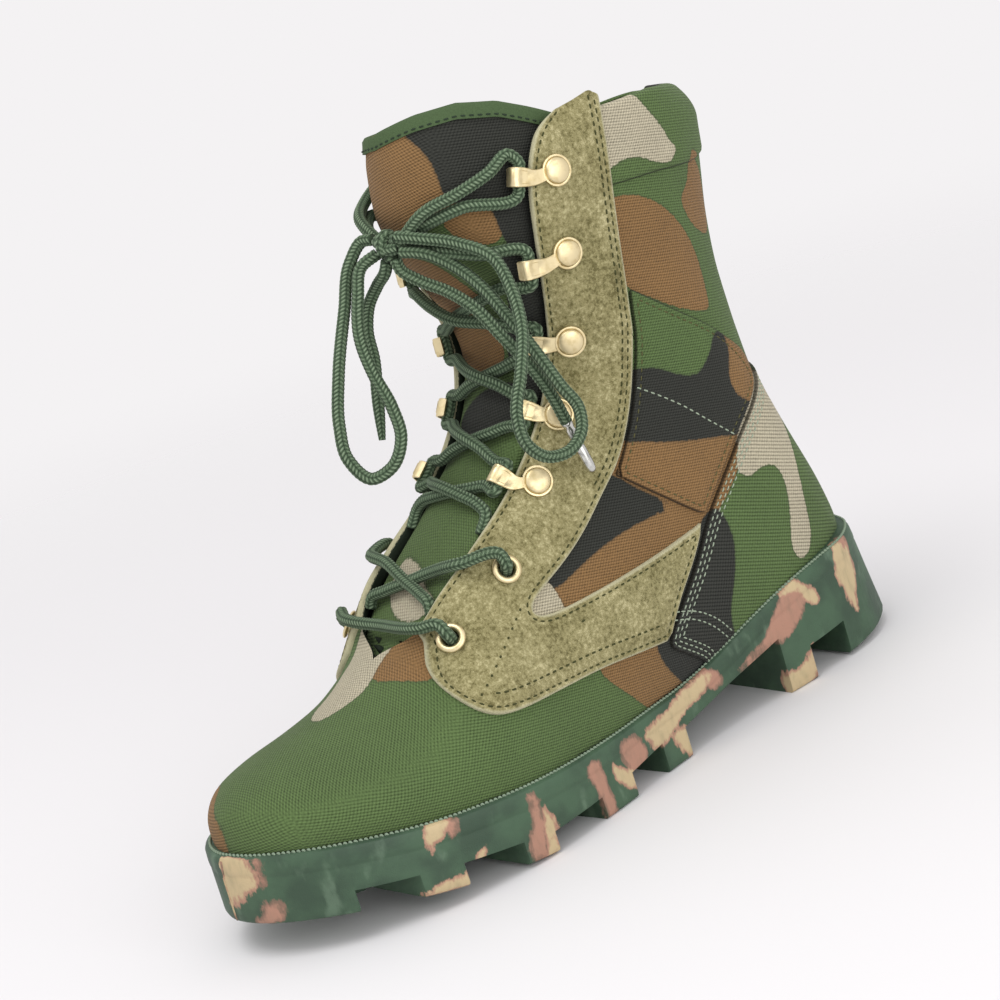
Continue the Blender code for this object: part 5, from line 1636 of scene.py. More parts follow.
@dataclass
class Cuff:
    """Padded roll over the top edge of the shaft, from facing to facing round the back."""

    # Seam below the roll, seen from the side: x, z
    seam: Rows = ((-20.0, 199.0), (55.0, 199.2), (79.0, 202.0), (100.0, 203.6))
    front_x: float = 95.0
    bulge: float = 1.3
    crest: float = 2.0
    inside: float = 14.0
    stations: int = 121
    # Drop of the top edge on the outer and the inner side, and inward lean of its last stretch: x, size
    outer_drop: Rows = ((50.0, 1.6), (68.0, 1.8), (80.0, 3.4), (95.0, 4.6))
    inner_drop: Rows = ((30.0, 3.0), (40.0, 6.4), (60.0, 6.8), (95.0, 5.5))
    lean: Rows = ((26.0, 4.0), (36.0, 6.0), (48.0, 5.0), (62.0, 2.2), (80.0, 0.5), (95.0, 0.0))
    lean_reach: float = 12.0
    # Rounding at the seam, gap over the cloth, lining inside, first section searched, tuck of the hem
    seam_round: float = 2.5
    gap: float = 0.3
    lining: float = 1.2
    search_row: float = 19.0
    hem: float = 1.6
    wobble: float = 0.35
    wobble_size: float = 17.0

    def profile(self, s: float, side: int, thin: float) -> tuple[Array, Array]:
        """Section of the roll at one place.

        Args:
            s: Share of the way from the back seam to the throat.
            side: 1 on the outer side, -1 on the inner side.
            thin: Share of the padding, less near the facings.

        Returns:
            Points from the seam up, over the top and down the inside, and for each of them its
            section number and height over the seam.
        """
        rows = np.linspace(self.search_row, TOP_ROW, 201)
        line = FORM.surface(rows, s, side)
        above = line[:, 2] - np.interp(line[:, 0], *np.transpose(self.seam))
        start = float(np.interp(0.0, above, rows))
        run = runs(line)
        first = float(np.interp(start, rows, run))
        drop = float(np.interp(line[-1, 0], *np.transpose(self.outer_drop if side > 0 else self.inner_drop)))
        up = np.linspace(0.0, run[-1] - drop - first, 25)
        u = np.interp(first + up, run, rows)
        skin, out = FORM.surface(u, s, side), FORM.outward(u, s, side)
        puff = np.sqrt(np.clip(1 - (1 - np.clip(up / self.seam_round, 0, 1)) ** 2, 0, 1))
        lean = float(np.interp(line[-1, 0], *np.transpose(self.lean)))
        inward = lean * np.clip(1.0 - (up[-1] - up) / self.lean_reach, 0.0, 1.0) ** 2
        skin = skin - out * inward[:, None]
        outer = skin + out * (self.gap + self.bulge * thin * puff)[:, None]
        top, across = skin[-1], out[-1]
        rise = unit(skin[-1] - skin[-3])
        turn = np.linspace(0.12, math.pi - 0.12, 11)
        pad = self.gap + self.bulge * thin
        half = 0.5 * (pad + WALL + self.lining)
        high = self.crest * (0.45 + 0.55 * thin)
        over = top + across * (pad - half) + across * (half * np.cos(turn))[:, None]
        over = over + rise * (high * np.sin(turn))[:, None]
        inner = [top - across * (WALL + self.lining) - rise * d for d in np.linspace(0.5, self.inside, 7)]
        inner[-1] = inner[-1] + across * self.hem
        shape = np.vstack((outer[:-1], over, inner))
        rest = len(shape) - len(u) + 1
        sections = np.concatenate((u[:-1], np.full(rest, u[-1])))
        heights = np.concatenate((up[:-1], np.full(rest, CLEAR_OF_RIM)))
        return shape, np.column_stack((sections, heights))

    def build(self, canvas: Material) -> None:
        """Adds the roll."""
        ends = []
        for side in Side:
            shares = np.linspace(0.0, 1.0, 401)
            ends.append(float(np.interp(self.front_x, FORM.surface(28.0, shares, side.value)[:, 0], shares)))
        along = np.linspace(-1.0, 1.0, self.stations)
        points, spots, rim = [], [], []
        for at in along:
            side = 1 if at < 0 else -1
            s = abs(at) * ends[0 if side > 0 else 1]
            thin = 0.3 + 0.7 * min(1.0, (1.0 - abs(at)) / 0.1)
            shape, measures = self.profile(s, side, thin)
            points.append(shape)
            rim.append(measures[:, 1])
            spots.append(np.column_stack((measures[:, 0], np.full(len(shape), s), np.full(len(shape), side))))
        grid = np.array(points)
        flat = grid.reshape(-1, 3)
        flat = flat + np.array([noise.noise_vector(Vector(p) / self.wobble_size) for p in flat]) * self.wobble
        faces = tube_faces(len(along), grid.shape[1])
        # Here rim is the height over the seam, so the canvas paints shade along the roll's foot
        values = canvas_values(np.vstack(spots), grid.reshape(-1, 3)) | {"rim": np.concatenate(rim)}
        cuff = add_piece("cuff", flat, faces, [canvas], values, sharp=60.0)
        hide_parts("collar_cuff")


@dataclass
class Tongue:
    """Canvas tongue behind the laces, with a tape round its top edge."""

    thickness: float = 3.0
    clearance: float = 1.5
    foot_row: float = 6.2
    # Share of the upper's section that each flap runs under, and its share of the way across
    tuck: float = 0.17
    flap: float = 0.2
    columns: int = 97
    row_step: float = 0.2
    tape_width: float = 5.0
    tape_lift: float = 0.7
    across: float = 90.0
    along: float = 8.0
    # Height of the top edge over the collar: share of the way across, rise
    crown: Rows = ((-0.2, -6.0), (-0.02, -2.0), (0.05, 2.5), (0.12, 6.5), (0.22, 8.5), (0.34, 7.0),
                   (0.5, 3.0), (0.7, 1.0), (0.98, -1.0), (1.2, -6.0))
    crown_row: float = 23.0

    def edges(self, u: float) -> tuple[Array, Array, Array, Array]:
        """Outer edge, inner edge, middle and push of the tongue's arch at a section."""
        depth = WALL + self.clearance
        start, end = (FORM.surface(u, 1.0, k) - FORM.outward(u, BY_THE_EDGE, k) * depth for k in (1, -1))
        centre = 0.5 * (start + end)
        nose_x, nose_z = FORM.nose(u)
        return start, end, centre, np.array((nose_x, centre[1], nose_z)) - centre

    def row(self, u: float) -> tuple[Array, Array]:
        """Outside of the tongue at a section.

        Args:
            u: Section number.

        Returns:
            Points from the outer tuck to the inner tuck, and their shares of the way across.
        """
        part = np.arange(6) / 5
        tucks = 1.0 - self.tuck * (1 - part)
        held = np.minimum(tucks, BY_THE_EDGE)
        depth = WALL + self.clearance
        flaps = [FORM.surface(u, tucks, k) - FORM.outward(u, held, k) * depth for k in (1, -1)]
        path, shares = [flaps[0]], [-(1 - part) * self.flap]
        if u > THROAT_ROW + 0.2:
            start, end, centre, push = self.edges(u)
            turn = math.pi * np.arange(1, 32) / 32
            path.append(centre + 0.5 * (start - end) * np.cos(turn)[:, None] + push * np.sin(turn)[:, None])
            shares.append(turn / math.pi)
        path.append(flaps[1][::-1])
        shares.append(1 + part * self.flap)
        points, share = np.vstack(path), np.concatenate(shares)
        run = runs(points)
        at = np.linspace(0.0, run[-1], self.columns)
        evenly = np.column_stack([np.interp(at, run, points[:, k]) for k in range(3)])
        return evenly, np.interp(at, run, share)

    def face(self, u: float, q: float) -> tuple[Array, Array]:
        """Point and outward normal of the tongue between the throat edges."""

        def spot(row: float, share: float) -> Array:
            """Point of the arch."""
            start, end, centre, push = self.edges(row)
            return centre + 0.5 * (start - end) * math.cos(math.pi * share) + push * math.sin(math.pi * share)

        along = spot(min(u + 0.02, TOP_ROW), q) - spot(u - 0.02, q)
        across = spot(u, q + 0.005) - spot(u, q - 0.005)
        normal = np.cross(across, along)
        if normal[0] + normal[2] < 0:
            normal = -normal
        return spot(u, q), unit(normal)

    def build(self, canvas: Material, lining: Material, tape: Material) -> None:
        """Adds the tongue and its tape."""
        rows = np.arange(self.foot_row, TOP_ROW + 1e-6, self.row_step)
        found = [self.row(u) for u in rows]
        grid = np.array([points for points, _ in found])
        share = np.array([part for _, part in found])
        risen = np.clip((rows - self.crown_row) / (TOP_ROW - self.crown_row), 0.0, 1.0) ** 1.4
        grid[..., 2] += np.interp(share, *np.transpose(self.crown)) * risen[:, None]
        out = unit(np.cross(np.gradient(grid, axis=1), np.gradient(grid, axis=0)))
        lean = np.sign((out[:, self.columns // 2] @ (1.0, 0.0, 0.4))[:, None, None])
        out *= np.where(lean == 0, 1.0, lean)
        flat = grid.reshape(-1, 3)
        bare = np.clip(np.minimum(share, 1 - share) / 0.12, 0.0, 1.0).ravel()
        folds = soft_wave(flat * (0.6, 1.0, 1.7), 22.0, 0.9) * bare
        outside = flat + out.reshape(-1, 3) * folds[:, None]
        inside = outside - out.reshape(-1, 3) * self.thickness
        count, wide = len(flat), self.columns
        faces: Faces = []
        for i in range(len(rows) - 1):
            for j in range(wide - 1):
                a = i * wide + j
                faces.append((a, a + 1, a + wide + 1, a + wide))
        front = len(faces)
        faces += [tuple(k + count for k in f[::-1]) for f in faces]
        rim = list(range(wide)) + [i * wide + wide - 1 for i in range(1, len(rows))]
        rim += list(range(count - 2, count - wide - 1, -1)) + [i * wide for i in range(len(rows) - 2, 0, -1)]
        faces += [(a, b, b + count, a + count) for a, b in zip(rim, rim[1:] + rim[:1])]
        at = np.column_stack((np.repeat(rows, wide), share.ravel()))
        values = print_layers(at, TONGUE_PRINT, (self.along, self.across))
        values |= facing(out.reshape(-1, 3)) | {"rim": np.full(count, CLEAR_OF_RIM)}
        which = [0] * front + [1] * (len(faces) - front)
        tongue = add_piece("tongue_cloth", np.vstack((outside, inside)), faces, [canvas, lining],
                           doubled(values), sharp=70.0, which=which)
        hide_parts("tongue")
        self.bind(grid, out, tape)

    def bind(self, grid: Array, out: Array, tape: Material) -> None:
        """Adds the tape folded over the top edge."""
        top, normal = grid[-1], out[-1]
        down = unit(grid[-4] - grid[-1])
        points = []
        shape = ((0.0, 1.0, 1.0), (0.0, 0.15, 1.0), (0.2, -0.10, 0.7), (0.5, -0.16, 0.0), (0.8, -0.10, -0.7),
                 (1.0, 0.15, -1.0), (1.0, 1.0, -1.0), (0.9, 1.0, 0.0), (0.1, 1.0, 0.0))
        for through, below, lift in shape:
            height = self.tape_lift * lift - self.thickness * through
            points.append(top + normal * height + down * self.tape_width * below)
        rings = np.stack(points, axis=1).reshape(-1, 3)
        faces = tube_faces(len(top), len(shape))
        add_piece("tongue_tape", rings, faces, [tape], sharp=55.0)
        seam = Thread(0.3, 2.0, 2.9)
        line = top + down * (self.tape_width - 1.0) + normal * (self.tape_lift + 0.05)
        seam.lay(line[12:-12], normal[12:-12])
        seam.build("tongue_tape_thread", PlainCloth("thread_tape", (44, 56, 44)).make())


@dataclass
class Fixings:
    """Brass hooks and eyelets along the throat."""

    # Section number and share of each eyelet
    eyelets: ClassVar[Rows] = ((8.45, 0.82), (10.25, 0.832))
    # Section number and share of the rivet, section number at the throat edge
    hooks: ClassVar[Rows] = (
        (11.7, 0.926, 11.35),
        (13.1, 0.933, 12.8),
        (15.6, 0.938, 15.0),
        (20.3, 0.96, 18.4),
        (25.0, 0.955, 23.8),
    )
    # Hook strip in front of the throat edge: forward of the edge, above the facing, width
    strip: ClassVar[Rows] = ((-1.0, 0.3, 5.4), (3.4, 0.8, 6.6), (6.8, 0.7, 6.8), (7.4, -2.2, 6.6))
    rise: ClassVar[float] = 2.55
    neck: float = 4.8
    metal: float = 0.9
    strip_step: float = 0.55
    # Hollow of the strip: half width at its start, widening to the full depth, depth, height of the roll
    hollow_half: float = 2.75
    hollow_blend: float = 0.4
    hollow_depth: float = 0.28
    roll: float = 0.3
    # Rivet from its foot to the middle of its dome: radius, height
    rivet: Rows = (
        (5.2, -0.3), (5.6, 0.0), (5.7, 0.5), (5.5, 0.95), (5.1, 1.05), (4.75, 0.95), (4.65, 0.6),
        (4.6, 1.2), (4.45, 1.7), (4.0, 2.05), (3.2, 2.3), (2.2, 2.48), (1.0, 2.58), (0.0, 2.6),
    )
    # Eyelet from inside the hole round the flange: radius, height
    ring: Rows = (
        (2.75, -2.4), (3.6, -2.4), (3.6, 2.4), (4.9, 2.45), (5.25, 2.7), (5.3, 3.0), (5.05, 3.4),
        (4.5, 3.7), (3.9, 3.75), (3.3, 3.55), (2.95, 3.1), (2.8, 2.5),
    )

    @staticmethod
    def axes(u: float, s: float, side: int) -> tuple[Array, Array, Array]:
        """Forward to the throat, along the throat and outward at a place on the upper."""
        out = FORM.outward(u, s, side)
        forward = FORM.surface(u, min(s + 0.03, 1.0), side) - FORM.surface(u, s - 0.03, side)
        forward = unit(forward - out * forward.dot(out))
        return forward, np.cross(out, forward), out

    @staticmethod
    def edge_frame(u: float, side: int) -> tuple[Array, Array, Array, Array]:
        """Point of the throat edge, and forward, along and outward there."""
        edge = FORM.surface(u, 1.0, side)
        along = unit(FORM.surface(u + 0.05, 1.0, side) - FORM.surface(u - 0.05, 1.0, side))
        out = FORM.outward(u, BY_THE_EDGE, side)
        out = unit(out - along * out.dot(along))
        forward = np.cross(along, out)
        if forward.dot(edge - FORM.surface(u, 0.95, side)) < 0:
            forward = -forward
        return edge, forward, along, out

    @staticmethod
    def turned(centre: Array, axes: Sequence[Array], profile: Rows, segments: int,
               looped: bool) -> tuple[Array, Faces]:
        """Shape turned about the third axis.

        Args:
            centre: Middle of the shape.
            axes: Two directions across and the axis.
            profile: Radius and height pairs.
            segments: Number of steps round.
            looped: Whether the profile closes on itself.

        Returns:
            Points and faces.
        """
        points, faces = [], []
        for k in range(segments):
            turn = 2 * math.pi * k / segments
            ray = axes[0] * math.cos(turn) + axes[1] * math.sin(turn)
            points += [centre + ray * radius + axes[2] * height for radius, height in profile]
        count = len(profile)
        ahead = [(i + 1) % count for i in range(count if looped else count - 1)]
        for k in range(segments):
            a, b = k * count, (k + 1) % segments * count
            faces += [(a + i, a + j, b + j, b + i) for i, j in enumerate(ahead)]
        if not looped:
            faces.append(tuple(k * count for k in range(segments)))
        return np.array(points), faces

    def hook(self, u: float, s: float, tip: float, side: int) -> tuple[Array, Faces]:
        """Riveted strip that runs past the throat edge, over the lace, and turns down in front of it."""
        edge, forward, along, out = self.edge_frame(tip, side)
        axes = list(self.axes(u, s, side))
        rivet = FORM.surface(u, s, side) + axes[2] * self.rise
        axes[0] = unit(edge - rivet - axes[2] * (edge - rivet).dot(axes[2]))
        axes[1] = np.cross(axes[2], axes[0])
        path = [rivet - axes[0] * 2.5, rivet + axes[0] * 2.0]
        path += [edge + forward * ahead + out * (self.rise + height) for ahead, height, _ in self.strip]
        widths = [self.neck, self.neck] + [width for _, _, width in self.strip]
        spots = stretch(np.column_stack((path, widths)), np.array(path), self.strip_step)
        spine, width = spots[:, :3], spots[:, 3]
        ahead = unit(np.gradient(spine, axis=0))
        top = unit(np.cross(ahead, along))
        top *= np.sign(top[0].dot(axes[2]))
        points = []
        last = len(spine) - 1
        for k in range(len(spine)):
            half = width[k] / 2
            full = (half - self.hollow_half) / self.hollow_blend
            hollow = min(max(full, 0.0), 1.0) * (1.0 if k < last - 5 else 0.0)
            narrowed = 0.94 if k in (0, last) else 1.0
            rolled = self.roll if last - 9 < k < last - 4 else 0.0
            metal = self.metal
            sunk = metal - self.hollow_depth * hollow + rolled
            shape = ((-half, 0.22), (-half + 0.25, 0.0), (half - 0.25, 0.0), (half, 0.22),
                     (half, metal - 0.25), (half - 0.25, metal), (half - 1.0, metal), (half - 1.25, sunk),
                     (1.25 - half, sunk), (1.0 - half, metal), (0.25 - half, metal), (-half, metal - 0.25))
            points += [spine[k] + along * wide * narrowed + top[k] * high for wide, high in shape]
        faces = tube_faces(len(spine), len(shape))
        dome, caps = self.turned(rivet, axes, self.rivet, 32, looped=False)
        first = len(points)
        return np.vstack((points, dome)), faces + [tuple(k + first for k in f) for f in caps]

    def build(self, brass: Material) -> None:
        """Adds all hooks and eyelets."""
        for side in Side:
            for number, (u, s, tip) in enumerate(self.hooks, 1):
                points, faces = self.hook(u, s, tip, side.value)
                piece = add_piece(f"brass_hook_{side.word}_{number}", points, faces, [brass], sharp=42.0)
                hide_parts(f"hook_{side.word}_{number}")
            for number, (u, s) in enumerate(self.eyelets, 1):
                centre = FORM.surface(u, s, side.value)
                points, faces = self.turned(centre, self.axes(u, s, side.value), self.ring, 36, looped=True)
                piece = add_piece(f"brass_eyelet_{side.word}_{number}", points, faces, [brass], sharp=50.0)
                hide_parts(f"eyelet_{side.word}_{number}")


def stretch(rows: Array, spots: Array, spacing: float) -> Array:
    """Rows about spacing apart on a smooth curve.

    Args:
        rows: Values at the route's points.
        spots: Places of those points in space.
        spacing: Distance between the new rows.

    Returns:
        The values at the new rows.
    """
    rows = np.asarray(rows, float)
    steps = np.linalg.norm(np.diff(np.asarray(spots, float), axis=0), axis=1)
    slopes = np.gradient(rows, np.concatenate(([0.0], np.cumsum(steps))), axis=0)
    index, share = [0], [0.0]
    for k, step in enumerate(steps):
        parts = max(1, round(step / spacing))
        index += [k] * parts
        share += [(i + 1) / parts for i in range(parts)]
    at = np.array(index)
    return hermite(rows, slopes, at, np.array(share)[:, None], steps[at][:, None])


@dataclass
class Lacing:
    """Lace through eyelets and hooks, its knot, loops and ends."""

    tongue: Tongue
    radius: float = 2.2
    lift: float = 0.5
    slack: float = 0.3
    hook_lace: float = 3.9
    hook_straight: float = 5.2
    over: float = 3.9
    sides: int = 24
    step: float = 0.36
    strands: int = 6
    braid_pitch: float = 1.45
    aglet_length: float = 20.0
    # Crossings over the tongue: start, shares of the way over, reach of the climb over the other strand
    crossing_row: float = 10.75
    crossing_shares: tuple[float, ...] = (0.22, 0.36, 0.5, 0.64, 0.78)
    crossing_reach: float = 0.17
    # Way from the last hook to the knot: section number, share off the middle, rise
    to_knot: Rows = ((24.6, 0.37, 1.0), (23.6, 0.28, 1.4), (22.8, 0.17, 3.0))
    loop_medial: Rows = (
        (167.5, -3.7, 209.8), (169.0, -8.5, 209.8), (174.0, -12.0, 204.0), (183.0, -10.5, 189.5),
        (195.5, -7.0, 169.5), (203.0, -4.0, 154.0), (205.5, -1.0, 143.0), (201.0, 3.0, 134.0),
        (194.0, 7.0, 136.0), (188.0, 8.0, 144.0), (186.5, 6.0, 155.0), (187.0, 1.5, 168.0),
        (185.0, -3.0, 180.0), (179.5, -5.0, 193.0), (173.0, -7.0, 202.0), (167.5, -3.6, 204.6),
    )
    loop_lateral: Rows = (
        (167.0, 10.1, 210.0), (163.5, 16.5, 208.0), (154.5, 27.0, 202.5), (149.0, 36.0, 195.5),
        (148.9, 41.5, 183.0), (151.7, 45.0, 171.5), (159.0, 47.0, 157.0), (165.5, 47.0, 144.0),
        (165.0, 47.0, 133.5), (159.5, 48.0, 127.0), (150.5, 50.0, 126.0), (143.5, 50.0, 131.0),
        (141.2, 48.5, 138.0), (144.5, 47.0, 147.0), (147.0, 44.0, 157.5), (148.0, 39.5, 166.0),
        (149.5, 34.0, 176.0), (151.0, 28.0, 185.5), (154.5, 21.0, 194.5), (162.0, 15.8, 202.2),
        (167.2, 9.9, 204.6),
    )
    end_medial: Rows = (
        (167.6, 1.0, 201.7), (168.0, -1.0, 198.5), (168.6, -8.0, 193.5), (171.0, -14.0, 186.5),
        (174.0, -14.5, 179.0), (176.0, -13.0, 168.5), (179.5, -12.0, 157.5), (184.0, -11.0, 141.5),
    )
    end_lateral: Rows = (
        (167.4, 6.2, 202.3), (167.0, 6.6, 198.5), (163.5, 10.5, 193.0), (158.5, 18.0, 187.0),
        (155.5, 27.5, 179.0), (153.4, 34.0, 169.0), (148.5, 38.5, 155.8), (144.6, 40.5, 143.0),
        (142.8, 41.5, 133.0),
    )

    def on_tongue(self, u: float, q: float, rise: float = 0.0) -> Array:
        """Middle of a lace that lies on the tongue, risen further by rise."""
        point, normal = self.tongue.face(u, q)
        return point + normal * (self.radius + self.lift + rise)

    def hook_strand(self, side: int) -> Array:
        """Route of half of the lace, from the upper eyelet of a side through the hooks to the knot."""
        height = Fixings.rise + Fixings.strip[1][1] - self.radius - 0.4
        left = self.crossing_row
        route = [self.on_tongue(10.4, 0.5 - 0.47 * side, -1.5), self.on_tongue(left, 0.5 - 0.40 * side)]
        above = side > 0
        for _, _, tip in Fixings.hooks:
            for share in self.crossing_shares:
                climb = self.over * math.exp(-(((share - 0.5) / self.crossing_reach) ** 2)) if above else 0.0
                row = left + (tip - left) * share
                route.append(self.on_tongue(row, 0.5 - (0.5 - share) * side, self.slack + climb))
            side = -side
            above = not above
            edge, forward, along, out = Fixings.edge_frame(tip, side)
            held = edge + forward * self.hook_lace + out * height
            route += [held + along * self.hook_straight * shift for shift in (-1, 0, 1)]
            left = tip
        route.append(held + along * (self.hook_straight + 2.6) + forward * 3.0 - out)
        route += [self.on_tongue(row, 0.5 - share * side, rise) for row, share, rise in self.to_knot]
        route.append(np.array((165.6, 3.5 + 5.0 * side, 206.8)))
        return np.array(route)

    def eyelet_top(self) -> float:
        """Height of the lace's middle over an eyelet."""
        return Fixings.rise + 1.3 + self.radius + 0.4

    def into_eyelet(self, u: float, s: float, side: int, height: float) -> list[Array]:
        """Last points of a lace that turns down into an eyelet."""
        centre, out = FORM.surface(u, s, side), FORM.outward(u, s, side)
        forward = Fixings.axes(u, s, side)[0]
        return [centre + forward * 4.6 + out * height, centre + forward * 1.4 + out * (height - 0.9),
                centre + forward * 0.1 + out * 2.4, centre - out * 4.0]

    def eyelet_strand(self, side: int) -> Array:
        """Route of the lace from under the facing of a side into the upper eyelet of the other side."""
        u, s = Fixings.eyelets[1]
        climbs = (0.0, 0.0, 1.2, 3.0) if side > 0 else (0.0, 0.0, 0.0, 0.0)
        route = [self.on_tongue(8.55, 0.5 - 0.45 * side, -1.2)]
        for k, climb in enumerate(climbs):
            row, share = 8.75 + 0.25 * k, 0.38 - 0.19 * k
            route.append(self.on_tongue(row, 0.5 - share * side, 0.2 + 0.3 * k + climb))
        at = (9.65, BY_THE_EDGE, -side)
        edge = FORM.surface(*at) + FORM.outward(*at) * (self.eyelet_top() - 0.6)
        return np.array(route + [edge] + self.into_eyelet(u, s, -side, self.eyelet_top() - 0.2))

    def bottom_bar(self) -> Array:
        """Route of the lace over the foot of the throat, into both lower eyelets."""
        u, s = Fixings.eyelets[0]
        top = self.eyelet_top()
        edges = [FORM.surface(8.2, 0.95, k) + FORM.outward(8.2, 0.95, k) * (top - 1.0) for k in (1, -1)]
        ends = [self.into_eyelet(u, s, k, top) for k in (1, -1)]
        return np.array(ends[0][::-1] + [edges[0], self.on_tongue(8.15, 0.5, 2.2), edges[1]] + ends[1])

    def tube(self, line: Array, radius: Array) -> tuple[Array, Faces, Array]:
        """Braided tube along a line.

        Args:
            line: Points of the middle of the cord.
            radius: Radius at each of them.

        Returns:
            Points, faces and the height of the braid at each point.
        """
        ahead = unit(np.gradient(line, axis=0))
        side = np.cross(ahead[0], (0.3, 0.2, 0.9))
        run = runs(line)
        round_share = np.arange(self.sides) / self.sides
        sector = round_share * self.strands
        lean = np.where(np.floor(sector) % 2 == 0, 1.0, -1.0)
        part = sector - np.floor(sector) - 0.5
        plump = 1 - (2 * part) ** 4 * 0.75
        points, heights = [], []
        for k, centre in enumerate(line):
            side = unit(side - ahead[k] * side.dot(ahead[k]))
            up = np.cross(ahead[k], side)
            ridge = np.abs(np.sin(math.pi * (run[k] / self.braid_pitch + lean * part * 0.9))) * plump
            reach = radius[k] * (0.9 + 0.13 * ridge)
            angle = 2 * math.pi * round_share
            ring = side * np.cos(angle)[:, None] + up * np.sin(angle)[:, None]
            points.append(centre + ring * reach[:, None])
            heights.append(ridge)
        return np.vstack(points), tube_faces(len(line), self.sides), np.concatenate(heights)

    def strand(self, name: str, routes: Sequence[Array], finish: Material, node: str | None,
               taper: float = 0.0) -> tuple[bpy.types.Object, Array]:
        """Adds one piece of lace.

        Args:
            name: Name of the piece.
            routes: Route points of each cord in the piece.
            finish: Material.
            node: Solid that the piece stands for.
            taper: Length over which the last cord narrows to its tip.

        Returns:
            The piece and the middle line of its last cord.
        """
        points, faces, heights, first = [], [], [], 0
        for route in routes:
            line = stretch(route, route, self.step)
            left = np.linalg.norm(line - line[-1], axis=1)
            thin = 1.0 - 0.45 * np.clip(1.0 - left / taper, 0.0, 1.0) ** 1.5 if taper else np.ones(len(line))
            shape, sides, ridge = self.tube(line, self.radius * thin)
            points.append(shape)
            heights.append(ridge)
            faces += [tuple(k + first for k in f) for f in sides]
            first += len(shape)
        piece = add_piece(name, np.vstack(points), faces, [finish], {"braid": np.concatenate(heights)})
        if node:
            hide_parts(node)
        return piece, line

    def tip(self, line: Array, metal: Material) -> bpy.types.Object:
        """Adds the metal tip on the outer end: a crimped sheath with a rounded point."""
        start, ahead = line[-1], unit(line[-1] - line[-6])
        side = unit(np.cross(ahead, (0.3, 0.2, 0.9)))
        length = self.aglet_length
        profile = ((1.2, -0.4), (1.9, 0.0), (2.0, 0.5), (1.85, 1.2), (1.6, 2.2), (1.85, 3.2), (1.9, 8.0),
                   (1.6, 9.0), (1.9, 10.0), (1.9, length - 3.0), (1.7, length - 1.2), (1.2, length - 0.3),
                   (0.0, length))
        axes = (side, np.cross(ahead, side), ahead)
        points, faces = Fixings.turned(start, axes, profile, 20, looped=False)
        piece = add_piece("lace_tip_lateral", points, faces, [metal], sharp=50.0)
        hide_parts("aglet_lateral")
        return piece

    def knot_routes(self) -> list[Array]:
        """Cords of the knot: one wrap round the bundle and two turns through it."""
        centre = np.array((167.0, 3.5, 207.0))
        turn = np.linspace(-0.5, 2 * math.pi - 0.9, 16)
        wrap = [centre + (2.6 * math.cos(a), 0.9 * math.sin(a * 0.5), 3.7 * math.sin(a)) for a in turn]
        through = [(166.4, -3.0, 208.4), (168.2, 0.4, 208.8), (168.4, 5.0, 206.0), (166.6, 9.4, 206.0)]
        second = [(166.4, -3.0, 204.6), (165.4, 1.0, 205.4), (165.6, 6.0, 208.4), (166.4, 9.8, 209.0)]
        return [np.array(wrap), np.array(through), np.array(second)]

    def build(self, cord: Material, metal: Material) -> None:
        """Adds the whole lace."""
        self.strand("lace_bar_cord", [self.bottom_bar()], cord, "lace_bar")
        low, high = ([route(1), route(-1)] for route in (self.eyelet_strand, self.hook_strand))
        self.strand("lace_low_cord", low, cord, "lace_crossing_low")
        self.strand("lace_hook_cord", high, cord, "lace_crossings")
        knot, _ = self.strand("lace_bow_knot", self.knot_routes(), cord, "lace_knot")
        ends = (("lace_bow_loop_medial", self.loop_medial, "lace_loop_medial", "object"),
                ("lace_bow_loop_lateral", self.loop_lateral, "lace_loop_lateral", "object"),
                ("lace_bow_end_medial", self.end_medial, "lace_end_medial", "bare"),
                ("lace_bow_end_lateral", self.end_lateral, "lace_end_lateral", "fitting"))
        for name, route, node, far_end in ends:
            taper = 14.0 if far_end == "bare" else 0.0
            piece, line = self.strand(name, [np.array(route)], cord, node, taper)
            path = FORM.place(line)
            along = [knot] if name == "lace_bow_loop_medial" else []
            if far_end == "fitting":
                along.append(self.tip(line, metal))


